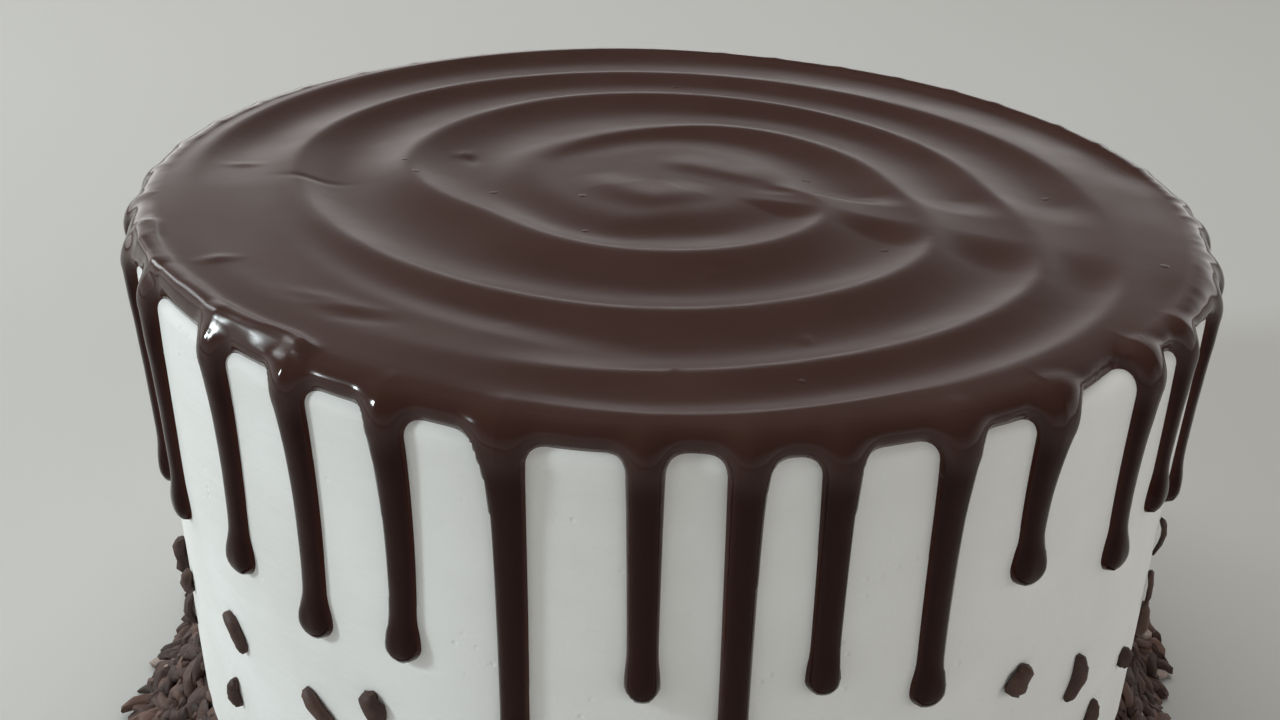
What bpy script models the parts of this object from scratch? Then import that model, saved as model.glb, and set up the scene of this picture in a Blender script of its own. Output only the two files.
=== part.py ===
"""A tall round cake in white frosting, topped with a chocolate ganache that is swirled with a spatula
and runs down the side in drips, with chocolate shavings heaped round its base and stuck to its side.

Metres, +Z up. The origin is the centre of the flat base, and -Y is the front. An azimuth is measured
at the axis from the front towards +X. A drip's length is measured down from the frosting's top edge.
"""

import math
import random

import bmesh
import bpy
from mathutils import Matrix, Vector

TURN = 2 * math.pi

CAKE_RADIUS = 0.108
CAKE_HEIGHT = 0.119
CAKE_STEPS = 60
TOP_EDGE_RADIUS = 0.004
TOP_EDGE_POINTS = 3
BASE_EDGE = 0.001
# The top isn't quite level: it falls by these shares of a metre a metre.
TOP_FALL_TO_RIGHT = 0.025
TOP_FALL_TO_BACK = 0.010
# What lies on the frosting keeps this far from it.
CLEARANCE = 0.0003

CAP_STEPS = 68
CAP_RINGS = 18
CAP_THICKNESS = 0.0046
CAP_BOTTOM = -0.0016
SWIRL_OUTER_SHARE = 0.93
# The rim outside the swirl: share of the cake's radius, and height above the frosting's top.
CAP_RIM = ((0.960, 0.0044), (0.987, 0.0035), (1.006, 0.0018), (1.012, 0.0004), (1.006, -0.0006))
# The pour reaches further over the edge on the left than on the right, by this share of the radius either way.
CAP_REACH_LEFT = 0.006

# The spatula leaves two arms, each a crest that runs inwards as the azimuth grows.
SWIRL_ARMS = 2
SWIRL_SPACING = 0.215
SWIRL_DEPTH = 0.0022
SWIRL_FADE_IN = 0.20
SWIRL_FADE_OUT = 0.80
SWIRL_SHIFT_LEFT = 0.045

DRIP_STEPS = 6
DRIP_HALF_WIDTH = 0.0027
DRIP_DEPTH = 0.0020
BULB_HALF_WIDTH = 0.0030
BULB_DEPTH = 0.0026
# The end widens over these shares of its half width above the tip, and is nearly closed at the last of them.
BULB_NECK = 3.6
BULB_FULLEST = 1.4
BULB_TURN = 0.4
BULB_TURN_SHARE = 0.76
WEB_HALF_WIDTH = 0.0051
WEB_DEPTH = 0.0024
WEB_HEIGHT = 0.0048
# Part way down the web, this share of its extra width is left.
WEB_MIDDLE = 0.38
WEB_MIDDLE_SHARE = 0.55
DRIP_TOP = 0.0006
# Drips in view, from left to right: azimuth in degrees, length, and sideways sway at mid length.
FRONT_DRIPS = (
    (-75.9, 0.0480, 0.0000),
    (-66.3, 0.0500, 0.0000),
    (-56.4, 0.0476, 0.0012),
    (-42.5, 0.0450, 0.0010),
    (-32.4, 0.0490, 0.0012),
    (-22.6, 0.0463, 0.0010),
    (-12.4, 0.0620, 0.0002),
    (-1.5, 0.0459, 0.0000),
    (6.2, 0.0580, 0.0000),
    (13.6, 0.0451, 0.0000),
    (23.7, 0.0520, -0.0004),
    (33.1, 0.0330, -0.0008),
    (46.4, 0.0405, -0.0012),
    (54.3, 0.0355, 0.0004),
    (66.0, 0.0455, 0.0006),
    (73.0, 0.0300, 0.0000),
)
BACK_DRIPS_FROM = 82.0
BACK_DRIPS_TO = 275.0
BACK_DRIP_COUNT = 22
BACK_DRIP_LENGTHS = (0.026, 0.054)
BACK_DRIP_JITTER = 1.6

# Shavings stuck to the frosting in view: azimuth in degrees, height above the base, turn from upright in
# degrees, length and width.
SIDE_SHAVINGS_IN_VIEW = (
    (-45.9, 0.0578, 40, 0.0078, 0.0026),
    (-48.6, 0.0406, 4, 0.0056, 0.0020),
    (-33.3, 0.0540, 50, 0.0075, 0.0028),
    (-26.3, 0.0606, 20, 0.0052, 0.0036),
    (34.3, 0.0654, -25, 0.0052, 0.0036),
    (43.6, 0.0572, -10, 0.0090, 0.0022),
    (55.7, 0.0478, -15, 0.0036, 0.0024),
    (48.8, 0.0422, -15, 0.0060, 0.0022),
    (-66.4, 0.0512, 8, 0.0075, 0.0030),
    (-62.8, 0.0495, -20, 0.0060, 0.0028),
    (-66.5, 0.0375, 10, 0.0070, 0.0030),
    (65.5, 0.0660, 4, 0.0085, 0.0020),
    (64.0, 0.0545, -20, 0.0075, 0.0022),
    (67.0, 0.0430, 6, 0.0080, 0.0026),
)
SIDE_SHAVING_COUNT = 44
SIDE_SHAVING_HEIGHTS = (0.032, 0.066)
SIDE_SHAVING_THINNING = 1.6
SIDE_SHAVING_APART = 0.0125
SIDE_SHAVING_LENGTHS = (0.0050, 0.0080)
SIDE_SHAVING_THICKNESS = 0.0024
SIDE_SHAVING_TURN = math.radians(70)
# How far a shaving's middle stands out of the frosting, as a share of its thickness.
SIDE_SHAVING_OUT = 0.2
SIDE_TAPER = 0.8

# The heap is banked up the side: its core's outline, height and lumps, and the rows of shavings on it.
HEAP_STEPS = 36
HEAP_POINTS = 4
HEAP_INNER = 0.0030
HEAP_OUTER = 0.0140
HEAP_HEIGHT = 0.0175
HEAP_FOOT = 0.0012
HEAP_BANK = 2.4
HEAP_LUMP = 0.0030
HEAP_LUMPS_ROUND = 13
HEAP_LUMP_START = -0.68
HEAP_WAVE = 0.10
HEAP_ROWS = 4
HEAP_PIECES_A_ROW = 39
# How unevenly the shavings lie: along a row as a share of their spacing, and off the heap's slope in radians.
HEAP_STRAY = 0.35
HEAP_TILT = 0.45
SLOPE_STEP = 0.0010
SHAVING_LENGTHS = (0.0070, 0.0115)
SHAVING_WIDTHS = (0.0026, 0.0038)
SHAVING_THICKNESSES = (0.0020, 0.0032)
SHAVING_TAPERS = (0.6, 1.0)
GOLDEN_ANGLE = 137.508
FLOOR_DEPTH = 0.02
SEED = 12

FROSTING_COLOUR = (0.72, 0.72, 0.70)
FROSTING_ROUGHNESS = 0.75
GANACHE_COLOUR = (0.030, 0.016, 0.013)
GANACHE_ROUGHNESS = 0.3
SHAVING_COLOUR = (0.060, 0.036, 0.030)
SHAVING_ROUGHNESS = 0.6
SHARP_ANGLE = math.radians(50)


def clear_scene():
    """Removes whatever the open file holds."""
    for item in list(bpy.data.objects):
        bpy.data.objects.remove(item)


def collection(name):
    """A new collection in the scene."""
    made = bpy.data.collections.new(name)
    bpy.context.scene.collection.children.link(made)
    return made


def material(name, colour, roughness):
    """A Principled material of one colour."""
    made = bpy.data.materials.new(name)
    made.use_nodes = True
    shader = made.node_tree.nodes["Principled BSDF"]
    shader.inputs["Base Color"].default_value = (*colour, 1.0)
    shader.inputs["Roughness"].default_value = roughness
    shader.inputs["Metallic"].default_value = 0.0
    made.diffuse_color = (*colour, 1.0)
    return made


def apply_modifiers(item):
    """Makes the evaluated mesh the object's own."""
    bpy.context.view_layer.update()
    evaluated = item.evaluated_get(bpy.context.evaluated_depsgraph_get())
    made = bpy.data.meshes.new_from_object(evaluated)
    item.modifiers.clear()
    item.data = made


def turned(name, profile, steps, owner, ring=False):
    """A solid turned round the Z axis from a profile down its outer side, from axis to axis or as a ring."""
    outline = bmesh.new()
    corners = [outline.verts.new((radius, 0.0, height)) for radius, height in profile]
    if ring:
        corners.append(corners[0])
    for first, second in zip(corners, corners[1:]):
        outline.edges.new((first, second))
    mesh = bpy.data.meshes.new(name)
    outline.to_mesh(mesh)
    outline.free()
    item = bpy.data.objects.new(name, mesh)
    owner.objects.link(item)
    screw = item.modifiers.new("turn", "SCREW")
    screw.steps = steps
    screw.render_steps = steps
    screw.use_merge_vertices = True
    screw.merge_threshold = 0.00001
    apply_modifiers(item)
    return item


def reshape(item, rule):
    """Moves each vertex to where the rule puts it."""
    for vertex in item.data.vertices:
        vertex.co = rule(vertex.co)
    item.data.update()


def combine(item, operation, other):
    """Joins or cuts with one object, or with every object of a collection, which is then removed."""
    boolean = item.modifiers.new(operation.lower(), "BOOLEAN")
    boolean.operation = operation
    # Scores of small closed solids are joined at once, which this solver does quickly.
    boolean.solver = "MANIFOLD"
    if isinstance(other, bpy.types.Collection):
        boolean.operand_type = "COLLECTION"
        boolean.collection = other
        used = list(other.objects)
    else:
        boolean.object = other
        used = [other]
    apply_modifiers(item)
    for piece in used:
        bpy.data.objects.remove(piece)


def keep_largest(item):
    """Drops loose scraps and fills sealed hollows: only the largest closed surface stays."""
    solid = bmesh.new()
    solid.from_mesh(item.data)
    left = set(solid.verts)
    groups = []
    while left:
        group = set()
        front = [left.pop()]
        while front:
            vertex = front.pop()
            group.add(vertex)
            for edge in vertex.link_edges:
                other = edge.other_vert(vertex)
                if other in left:
                    left.remove(other)
                    front.append(other)
        groups.append(group)
    groups.sort(key=len)
    scraps = [vertex for group in groups[:-1] for vertex in group]
    bmesh.ops.delete(solid, geom=scraps, context="VERTS")
    solid.to_mesh(item.data)
    solid.free()


def cutter(item):
    """Marks an object as one that only cuts."""
    item.hide_render = True
    item.display_type = "WIRE"
    return item


def place(azimuth, radius, height):
    """The point at an azimuth, a distance from the axis and a height."""
    return (radius * math.sin(azimuth), -radius * math.cos(azimuth), height)


def top_fall(point):
    """Tips the top: the higher a point is, the more of the fall it takes, and the base stays flat."""
    share = min(max(point.z / CAKE_HEIGHT, 0.0), 1.0)
    point.z -= share * (TOP_FALL_TO_RIGHT * point.x + TOP_FALL_TO_BACK * point.y)
    return point


def cake_profile(growth):
    """The frosted side and rounded top edge, grown outwards everywhere but the base."""
    radius = CAKE_RADIUS + growth
    top = CAKE_HEIGHT + growth
    rounding = TOP_EDGE_RADIUS + growth
    points = [(0.0, top)]
    for index in range(TOP_EDGE_POINTS + 1):
        angle = index / TOP_EDGE_POINTS * TURN / 4
        points.append(
            (radius - rounding + rounding * math.sin(angle), top - rounding + rounding * math.cos(angle))
        )
    points.append((radius, BASE_EDGE))
    points.append((radius - BASE_EDGE, 0.0))
    points.append((0.0, 0.0))
    return points


def cake_body(name, growth, owner):
    """The frosted cake, or the same shape grown by a clearance to cut what lies on it."""
    body = turned(name, cake_profile(growth), CAKE_STEPS, owner)
    reshape(body, top_fall)
    return body


def swirl_drop(share, azimuth):
    """How far the swirl lies below its crests, at a share of the radius and an azimuth."""
    warped = share + SWIRL_SHIFT_LEFT * math.sin(azimuth) * min(share / SWIRL_FADE_IN, 1.0)
    phase = (1.0 - warped) / SWIRL_SPACING - SWIRL_ARMS * azimuth / TURN
    fade_in = min(share / SWIRL_FADE_IN, 1.0)
    fade_out = min(max((1.0 - share) / (1.0 - SWIRL_FADE_OUT), 0.0), 1.0)
    return SWIRL_DEPTH * abs(math.sin(math.pi * phase)) * fade_in * fade_out


def poured_cap(owner):
    """The ganache on top: turned from its section, then swirled."""
    profile = [(0.0, CAKE_HEIGHT + CAP_THICKNESS)]
    for index in range(1, CAP_RINGS + 1):
        share = SWIRL_OUTER_SHARE * index / CAP_RINGS
        profile.append((share * CAKE_RADIUS, CAKE_HEIGHT + CAP_THICKNESS))
    for share, height in CAP_RIM:
        profile.append((share * CAKE_RADIUS, CAKE_HEIGHT + height))
    profile.append((CAKE_RADIUS - TOP_EDGE_RADIUS, CAKE_HEIGHT + CAP_BOTTOM))
    profile.append((0.0, CAKE_HEIGHT + CAP_BOTTOM))
    cap = turned("ganache", profile, CAP_STEPS, owner)

    def swirled(point):
        share = math.hypot(point.x, point.y) / CAKE_RADIUS
        azimuth = math.atan2(point.x, -point.y)
        if point.z > CAKE_HEIGHT + CAP_THICKNESS / 2:
            point.z -= swirl_drop(share, azimuth)
        if share > SWIRL_OUTER_SHARE:
            reach = (share - SWIRL_OUTER_SHARE) / (1.0 - SWIRL_OUTER_SHARE)
            point.xy *= 1.0 - CAP_REACH_LEFT * min(reach, 1.0) * math.sin(azimuth)
        return top_fall(point)

    reshape(cap, swirled)
    return cap


def drip(azimuth, length, sway, owner):
    """A drip that hangs from the rim: a web at its top, a slim shaft and a fuller end, flattened on the side."""
    web_middle = DRIP_HALF_WIDTH + WEB_MIDDLE_SHARE * (WEB_HALF_WIDTH - DRIP_HALF_WIDTH)
    rings = (
        (DRIP_TOP, WEB_HALF_WIDTH, WEB_DEPTH),
        (-WEB_MIDDLE * WEB_HEIGHT, web_middle, DRIP_DEPTH),
        (-WEB_HEIGHT, DRIP_HALF_WIDTH, DRIP_DEPTH),
        (-length + BULB_NECK * BULB_HALF_WIDTH, DRIP_HALF_WIDTH, DRIP_DEPTH),
        (-length + BULB_FULLEST * BULB_HALF_WIDTH, BULB_HALF_WIDTH, BULB_DEPTH),
        (-length + BULB_TURN * BULB_HALF_WIDTH, BULB_TURN_SHARE * BULB_HALF_WIDTH, BULB_TURN_SHARE * BULB_DEPTH),
    )
    profile = [(0.0, DRIP_TOP)]
    profile += [(half_width, height) for height, half_width, _ in rings]
    profile += [(0.0, -length)]
    piece = turned("drip", profile, DRIP_STEPS, owner)

    def wrapped(point):
        _, half_width, depth = min(rings, key=lambda ring: abs(ring[0] - point.z))
        across = point.x + sway * math.sin(math.pi * min(max(-point.z / length, 0.0), 1.0))
        inwards = point.y * depth / half_width
        turn = azimuth + across / CAKE_RADIUS
        return top_fall(Vector(place(turn, CAKE_RADIUS - inwards, CAKE_HEIGHT + point.z)))

    reshape(piece, wrapped)
    return piece


def all_drips(rng, owner):
    """The drips in view, and others like them behind."""
    for degrees, length, sway in FRONT_DRIPS:
        drip(math.radians(degrees), length, sway, owner)
    spacing = (BACK_DRIPS_TO - BACK_DRIPS_FROM) / (BACK_DRIP_COUNT - 1)
    for index in range(BACK_DRIP_COUNT):
        degrees = BACK_DRIPS_FROM + spacing * index + rng.uniform(-BACK_DRIP_JITTER, BACK_DRIP_JITTER)
        length = rng.uniform(*BACK_DRIP_LENGTHS)
        drip(math.radians(degrees), length, 0.0, owner)


def shaving(length, width, thickness, taper, frame, owner):
    """A three-sided stick of chocolate, narrower at one end, in a frame whose X is along it and Z is out of it."""
    solid = bmesh.new()
    bmesh.ops.create_cone(
        solid,
        cap_ends=True,
        segments=3,
        radius1=1.0,
        radius2=taper,
        depth=1.0,
        matrix=Matrix.Rotation(-TURN / 4, 4, "Y"),
    )
    # A triangle in a circle of radius 1 is 1.5 high and the root of 3 wide.
    size = Matrix.Diagonal((length, width / math.sqrt(3.0), thickness / 1.5, 1.0))
    bmesh.ops.transform(solid, matrix=frame @ size, verts=solid.verts)
    mesh = bpy.data.meshes.new("shaving")
    solid.to_mesh(mesh)
    solid.free()
    piece = bpy.data.objects.new("shaving", mesh)
    owner.objects.link(piece)
    return piece


def side_frame(azimuth, radius, height, turn, slope=0.0):
    """A frame on the side: Z points out, X points up until it is turned, and a slope leans Z upwards."""
    out = Vector(place(azimuth, 1.0, 0.0))
    along = Vector((math.cos(azimuth), math.sin(azimuth), 0.0))
    up = Vector((0.0, 0.0, 1.0))
    frame = Matrix((up, -along, out)).transposed().to_4x4()
    lean = Matrix.Rotation(-slope, 4, along)
    spin = Matrix.Rotation(turn, 4, out)
    return Matrix.Translation(place(azimuth, radius, height)) @ lean @ spin @ frame


def stuck_shavings(rng, owner):
    """Shavings stuck to the side: those in view where they are, the others thinning out upwards."""
    radius = CAKE_RADIUS + SIDE_SHAVING_OUT * SIDE_SHAVING_THICKNESS
    taken = []
    for degrees, height, turn, length, width in SIDE_SHAVINGS_IN_VIEW:
        frame = side_frame(math.radians(degrees), radius, height, math.radians(turn))
        shaving(length, width, SIDE_SHAVING_THICKNESS, SIDE_TAPER, frame, owner)
        taken.append((degrees, height))
    low, high = SIDE_SHAVING_HEIGHTS
    for index in range(SIDE_SHAVING_COUNT):
        degrees = index * GOLDEN_ANGLE % 360.0 - 180.0
        height = low + (high - low) * rng.random() ** SIDE_SHAVING_THINNING
        turn = rng.uniform(-SIDE_SHAVING_TURN, SIDE_SHAVING_TURN)
        length = rng.uniform(*SIDE_SHAVING_LENGTHS)
        width = rng.uniform(*SHAVING_WIDTHS)
        near = any(
            math.hypot(math.radians(degrees - other) * CAKE_RADIUS, height - level) < SIDE_SHAVING_APART
            for other, level in taken
        )
        if near:
            continue
        taken.append((degrees, height))
        frame = side_frame(math.radians(degrees), radius, height, turn)
        shaving(length, width, SIDE_SHAVING_THICKNESS, SIDE_TAPER, frame, owner)


def heap_height(out):
    """The height of the heap's core at a distance out from the frosting: banked up the side, flat at its foot."""
    return HEAP_FOOT + (HEAP_HEIGHT - HEAP_FOOT) * max(1.0 - out / HEAP_OUTER, 0.0) ** HEAP_BANK


def heap_core(owner):
    """The inside of the heap: a turned bank, made lumpy."""
    profile = [(CAKE_RADIUS - HEAP_INNER, heap_height(0.0))]
    for index in range(HEAP_POINTS):
        out = HEAP_OUTER * (index + 0.5) / HEAP_POINTS
        profile.append((CAKE_RADIUS + out, heap_height(out)))
    profile.append((CAKE_RADIUS + HEAP_OUTER, 0.0))
    profile.append((CAKE_RADIUS - HEAP_INNER, 0.0))
    core = turned("chocolate_shavings", profile, HEAP_STEPS, owner, ring=True)

    def lumpy(point):
        azimuth = math.atan2(point.x, -point.y)
        wave = math.sin(HEAP_LUMPS_ROUND * azimuth + HEAP_LUMP_START)
        out = math.hypot(point.x, point.y) - CAKE_RADIUS
        if out > 0:
            reach = CAKE_RADIUS + out + HEAP_LUMP * wave * out / HEAP_OUTER
            return Vector(place(azimuth, reach, point.z * (1.0 + HEAP_WAVE * wave)))
        return point

    reshape(core, lumpy)
    return core


def heap_pieces(rng, owner):
    """Shavings that lie on the core in rows, each sunk a little into it."""
    for row in range(HEAP_ROWS):
        share = (row + 0.5) / HEAP_ROWS
        for index in range(HEAP_PIECES_A_ROW):
            azimuth = TURN * (index + (row % 2) / 2 + rng.uniform(-HEAP_STRAY, HEAP_STRAY)) / HEAP_PIECES_A_ROW
            lump = HEAP_LUMP * math.sin(HEAP_LUMPS_ROUND * azimuth + HEAP_LUMP_START)
            out = HEAP_OUTER * (share + rng.uniform(-0.5, 0.5) / HEAP_ROWS)
            height = heap_height(out)
            fall = math.atan2(heap_height(out - SLOPE_STEP) - heap_height(out + SLOPE_STEP), 2 * SLOPE_STEP)
            turn = rng.uniform(-TURN / 4, TURN / 4)
            tilt = TURN / 4 - fall + rng.uniform(-HEAP_TILT, HEAP_TILT)
            reach = CAKE_RADIUS + out + lump * out / HEAP_OUTER
            frame = side_frame(azimuth, reach, height, turn, tilt)
            shaving(
                rng.uniform(*SHAVING_LENGTHS),
                rng.uniform(*SHAVING_WIDTHS),
                rng.uniform(*SHAVING_THICKNESSES),
                rng.uniform(*SHAVING_TAPERS),
                frame,
                owner,
            )


def floor_block(owner):
    """A block under the base, to trim what would hang below it."""
    side = 4 * CAKE_RADIUS
    solid = bmesh.new()
    bmesh.ops.create_cube(solid, size=1.0, matrix=Matrix.Diagonal((side, side, FLOOR_DEPTH, 1.0)))
    mesh = bpy.data.meshes.new("floor_block")
    solid.to_mesh(mesh)
    solid.free()
    block = bpy.data.objects.new("floor_block", mesh)
    block.location.z = -FLOOR_DEPTH / 2
    owner.objects.link(block)
    return block


def paint(item, finish):
    """Gives an object one material."""
    item.data.materials.clear()
    item.data.materials.append(finish)
    item.data.shade_smooth()
    item.data.set_sharp_from_angle(angle=SHARP_ANGLE)


def main():
    clear_scene()
    rng = random.Random(SEED)
    parts = collection("chocolate_ganache_cake")
    cutters = collection("cutters")
    joined = collection("joined")

    cake = cake_body("frosted_cake", 0.0, parts)
    stuck_shavings(rng, joined)
    combine(cake, "UNION", joined)

    ganache = poured_cap(parts)
    all_drips(rng, joined)
    combine(ganache, "UNION", joined)
    combine(ganache, "DIFFERENCE", cutter(cake_body("grown_cake", CLEARANCE, cutters)))

    shavings = heap_core(parts)
    heap_pieces(rng, joined)
    combine(shavings, "UNION", joined)
    combine(shavings, "DIFFERENCE", cutter(cake_body("grown_cake", CLEARANCE, cutters)))
    combine(shavings, "DIFFERENCE", cutter(floor_block(cutters)))

    for item in (cake, ganache, shavings):
        keep_largest(item)
    bpy.data.collections.remove(joined)
    bpy.data.collections.remove(cutters)
    paint(cake, material("white_frosting", FROSTING_COLOUR, FROSTING_ROUGHNESS))
    paint(ganache, material("dark_ganache", GANACHE_COLOUR, GANACHE_ROUGHNESS))
    paint(shavings, material("shaved_chocolate", SHAVING_COLOUR, SHAVING_ROUGHNESS))


main()
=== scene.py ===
"""Looks of a tall frosted cake under swirled dark ganache, with chocolate shavings heaped round its base.

Metres, +Z up, the origin at the centre of the flat base, and -Y the front. An azimuth is measured at the
axis from the front towards +X. A run is a distance along the frosting's skin, measured outwards over the
top edge and down the side, so that on the side it is the depth below the top. On the top it is negative.
"""

import logging
import math
import random
from collections.abc import Iterator
from contextlib import contextmanager
from dataclasses import dataclass, field
from enum import Enum

import bpy
import numpy as np
from mathutils import Matrix, Vector


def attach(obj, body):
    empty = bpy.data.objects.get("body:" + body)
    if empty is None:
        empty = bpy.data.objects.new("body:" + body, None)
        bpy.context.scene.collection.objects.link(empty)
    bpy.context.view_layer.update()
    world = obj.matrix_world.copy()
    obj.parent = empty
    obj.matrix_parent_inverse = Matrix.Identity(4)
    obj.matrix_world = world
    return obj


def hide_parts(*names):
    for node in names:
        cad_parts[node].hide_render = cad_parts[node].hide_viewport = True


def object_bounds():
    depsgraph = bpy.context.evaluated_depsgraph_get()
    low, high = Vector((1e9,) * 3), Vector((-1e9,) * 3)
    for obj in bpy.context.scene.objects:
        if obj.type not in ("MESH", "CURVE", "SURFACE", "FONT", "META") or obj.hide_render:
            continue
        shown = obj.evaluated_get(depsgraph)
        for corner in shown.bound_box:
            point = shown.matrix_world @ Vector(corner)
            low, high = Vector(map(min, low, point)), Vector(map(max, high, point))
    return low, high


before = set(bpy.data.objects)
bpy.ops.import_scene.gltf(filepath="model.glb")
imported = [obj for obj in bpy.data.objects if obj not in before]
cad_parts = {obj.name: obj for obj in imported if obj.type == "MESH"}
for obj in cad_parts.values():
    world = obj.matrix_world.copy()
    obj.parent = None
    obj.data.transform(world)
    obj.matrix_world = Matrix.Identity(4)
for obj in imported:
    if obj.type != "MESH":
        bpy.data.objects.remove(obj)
CAD_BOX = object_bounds()

Array = np.ndarray
Item = bpy.types.Object
Socket = bpy.types.NodeSocket
LOG = logging.getLogger("cake")
TURN = 2 * math.pi
SEED = 12
GOLDEN_ANGLE = 137.508
POLE_GAP = 0.000002
SEAM_GAP = 0.00002
CLEARANCE = 0.0001


def deselect_all() -> None:
    """Leaves object mode with nothing selected."""
    if bpy.context.object and bpy.context.object.mode != "OBJECT":
        bpy.ops.object.mode_set(mode="OBJECT")
    bpy.ops.object.select_all(action="DESELECT")


def activate(item: Item) -> None:
    """Makes one object the only selected one and the active one.

    Args:
        item: The object.
    """
    deselect_all()
    item.select_set(True)
    bpy.context.view_layer.objects.active = item


@contextmanager
def editing(item: Item, select: str, mode: str = "VERT", **chosen: Array) -> Iterator[None]:
    """Edit mode on one object.

    Args:
        item: The object.
        select: SELECT to start with all of it selected, DESELECT for none of it.
        mode: What is selected: VERT, EDGE or FACE.
        chosen: Masks of the vertices, edges or polygons that are then selected.

    Yields:
        Nothing; the mesh is edited in the meantime.
    """
    activate(item)
    bpy.ops.object.mode_set(mode="EDIT")
    bpy.ops.mesh.select_mode(type=mode)
    bpy.ops.mesh.select_all(action=select)
    if chosen:
        bpy.ops.object.mode_set(mode="OBJECT")
        for name, mask in chosen.items():
            getattr(item.data, name).foreach_set("select", mask)
        bpy.ops.object.mode_set(mode="EDIT")
    yield
    bpy.ops.mesh.select_mode(type="VERT")
    bpy.ops.object.mode_set(mode="OBJECT")


def read(elements: object, name: str, width: int = 1, kind: type = np.int64) -> Array:
    """Reads one property of every element of a mesh.

    Args:
        elements: The mesh's vertices, edges, loops or polygons.
        name: The property.
        width: How many numbers it has.
        kind: What kind of number they are.

    Returns:
        A number for each element, or a row of them.
    """
    flat = np.empty(len(elements) * width, dtype=kind)
    elements.foreach_get(name, flat)
    return flat if width == 1 else flat.reshape(-1, width)


def corners_of(item: Item) -> Array:
    """The mesh's vertices as rows of three numbers."""
    return read(item.data.vertices, "co", 3, float)


def polar(places: Array) -> tuple[Array, Array]:
    """Radius and azimuth of each point."""
    return np.hypot(places[:, 0], places[:, 1]), np.arctan2(places[:, 0], -places[:, 1])


def apart(azimuth: Array, other: float) -> Array:
    """Azimuths counted from another one, between minus half a turn and half a turn."""
    return (azimuth - other + math.pi) % TURN - math.pi


def move_corners(item: Item, places: Array) -> None:
    """Puts every vertex of the mesh at its new place."""
    item.data.vertices.foreach_set("co", places.reshape(-1))
    item.data.update()


def smooth_step(value: Array, low: float, high: float) -> Array:
    """Rises from 0 at low to 1 at high without a kink.

    Args:
        value: Numbers to grade.
        low: Where the rise starts.
        high: Where it ends; below low for a fall.

    Returns:
        The graded numbers.
    """
    share = np.clip((value - low) / (high - low), 0.0, 1.0)
    return share * share * (3.0 - 2.0 * share)


def eased_table(points: tuple, spread: float, step: float) -> tuple[Array, Array]:
    """A table through points with its kinks rounded off.

    Args:
        points: Pairs of place and value, in rising order of place.
        spread: How far the rounding reaches.
        step: Spacing of the table that comes out.

    Returns:
        The places and the eased values.
    """
    places, values = np.array(points).T
    reach = 3 * spread
    fine = np.arange(places[0] - reach, places[-1] + reach + step, step)
    raw = np.interp(fine, places, values)
    around = np.arange(-round(reach / step), round(reach / step) + 1) * step
    weights = np.exp(-0.5 * (around / spread) ** 2)
    padded = np.pad(raw, len(around) // 2, mode="edge")
    return fine, np.convolve(padded, weights / weights.sum(), mode="valid")


def soft_least(first: Array, second: Array, width: float) -> Array:
    """The lesser of two distances, blended where they are nearly equal, which rounds inner corners."""
    share = np.maximum(width - np.abs(first - second), 0.0) / width
    return np.minimum(first, second) - share * share * width / 4.0


def waves(azimuth: Array, height: Array, count: int, seed: int) -> Array:
    """Slow unevenness over the skin, between about -1 and 1, without a seam at the back.

    Args:
        azimuth: Azimuths in radians.
        height: Heights or runs in metres.
        count: How many waves are added up.
        seed: What makes this unevenness its own.

    Returns:
        The sum of the waves at each place.
    """
    rng = random.Random(seed)
    total = np.zeros_like(azimuth)
    for _ in range(count):
        around = rng.randint(2, 11)
        along = rng.uniform(15.0, 110.0)
        shift = rng.uniform(0.0, TURN)
        total += np.sin(around * azimuth + along * height + shift) * rng.uniform(0.4, 1.0)
    return total / math.sqrt(count)


def turned_skin(name: str, outline: list[tuple[float, float]], steps: int) -> Item:
    """Draws an outline point by point and spins it round the axis.

    Args:
        name: The new object's name.
        outline: Pairs of radius and height.
        steps: How many steps the full turn has.

    Returns:
        The turned mesh, with its seam and pole merged.
    """
    deselect_all()
    bpy.ops.mesh.primitive_plane_add(size=0.001)
    item = bpy.context.object
    item.name = item.data.name = name
    with editing(item, "SELECT"):
        bpy.ops.mesh.merge(type="CENTER")
        bpy.ops.transform.translate(value=(outline[0][0], 0.0, outline[0][1]))
        for before, after in zip(outline, outline[1:]):
            step = (after[0] - before[0], 0.0, after[1] - before[1])
            bpy.ops.mesh.extrude_region_move(TRANSFORM_OT_translate={"value": step})
        bpy.ops.mesh.select_all(action="SELECT")
        bpy.ops.mesh.spin(steps=steps, angle=TURN, center=(0, 0, 0), axis=(0, 0, 1))
        bpy.ops.mesh.select_all(action="SELECT")
        bpy.ops.mesh.remove_doubles(threshold=POLE_GAP)
    return item


def joined(name: str, items: list[Item]) -> Item:
    """Joins objects into the first and merges what touches.

    Args:
        name: The name of what comes out.
        items: The objects.

    Returns:
        The joined object.
    """
    activate(items[0])
    for item in items[1:]:
        item.select_set(True)
    bpy.ops.object.join()
    with editing(items[0], "SELECT"):
        bpy.ops.mesh.remove_doubles(threshold=SEAM_GAP)
    items[0].name = items[0].data.name = name
    return items[0]


def face_outwards(item: Item) -> None:
    """Turns every face of a closed mesh outwards."""
    with editing(item, "SELECT"):
        bpy.ops.mesh.normals_make_consistent(inside=False)


def hand_over(item: Item, finish: bpy.types.Material, slot: str, *nodes: str) -> None:
    """Dresses a finished piece and ties it to the frame.

    Args:
        item: The piece.
        finish: Its material.
        slot: The record's slot that the finish belongs to; not used.
        nodes: The CAD nodes that the piece stands for.
    """
    item.data.materials.clear()
    item.data.materials.append(finish)
    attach(item, "root")
    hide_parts(*nodes)
    triangles = sum(len(face.vertices) - 2 for face in item.data.polygons)
    LOG.info("%s: %d triangles", item.name, triangles)


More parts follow.
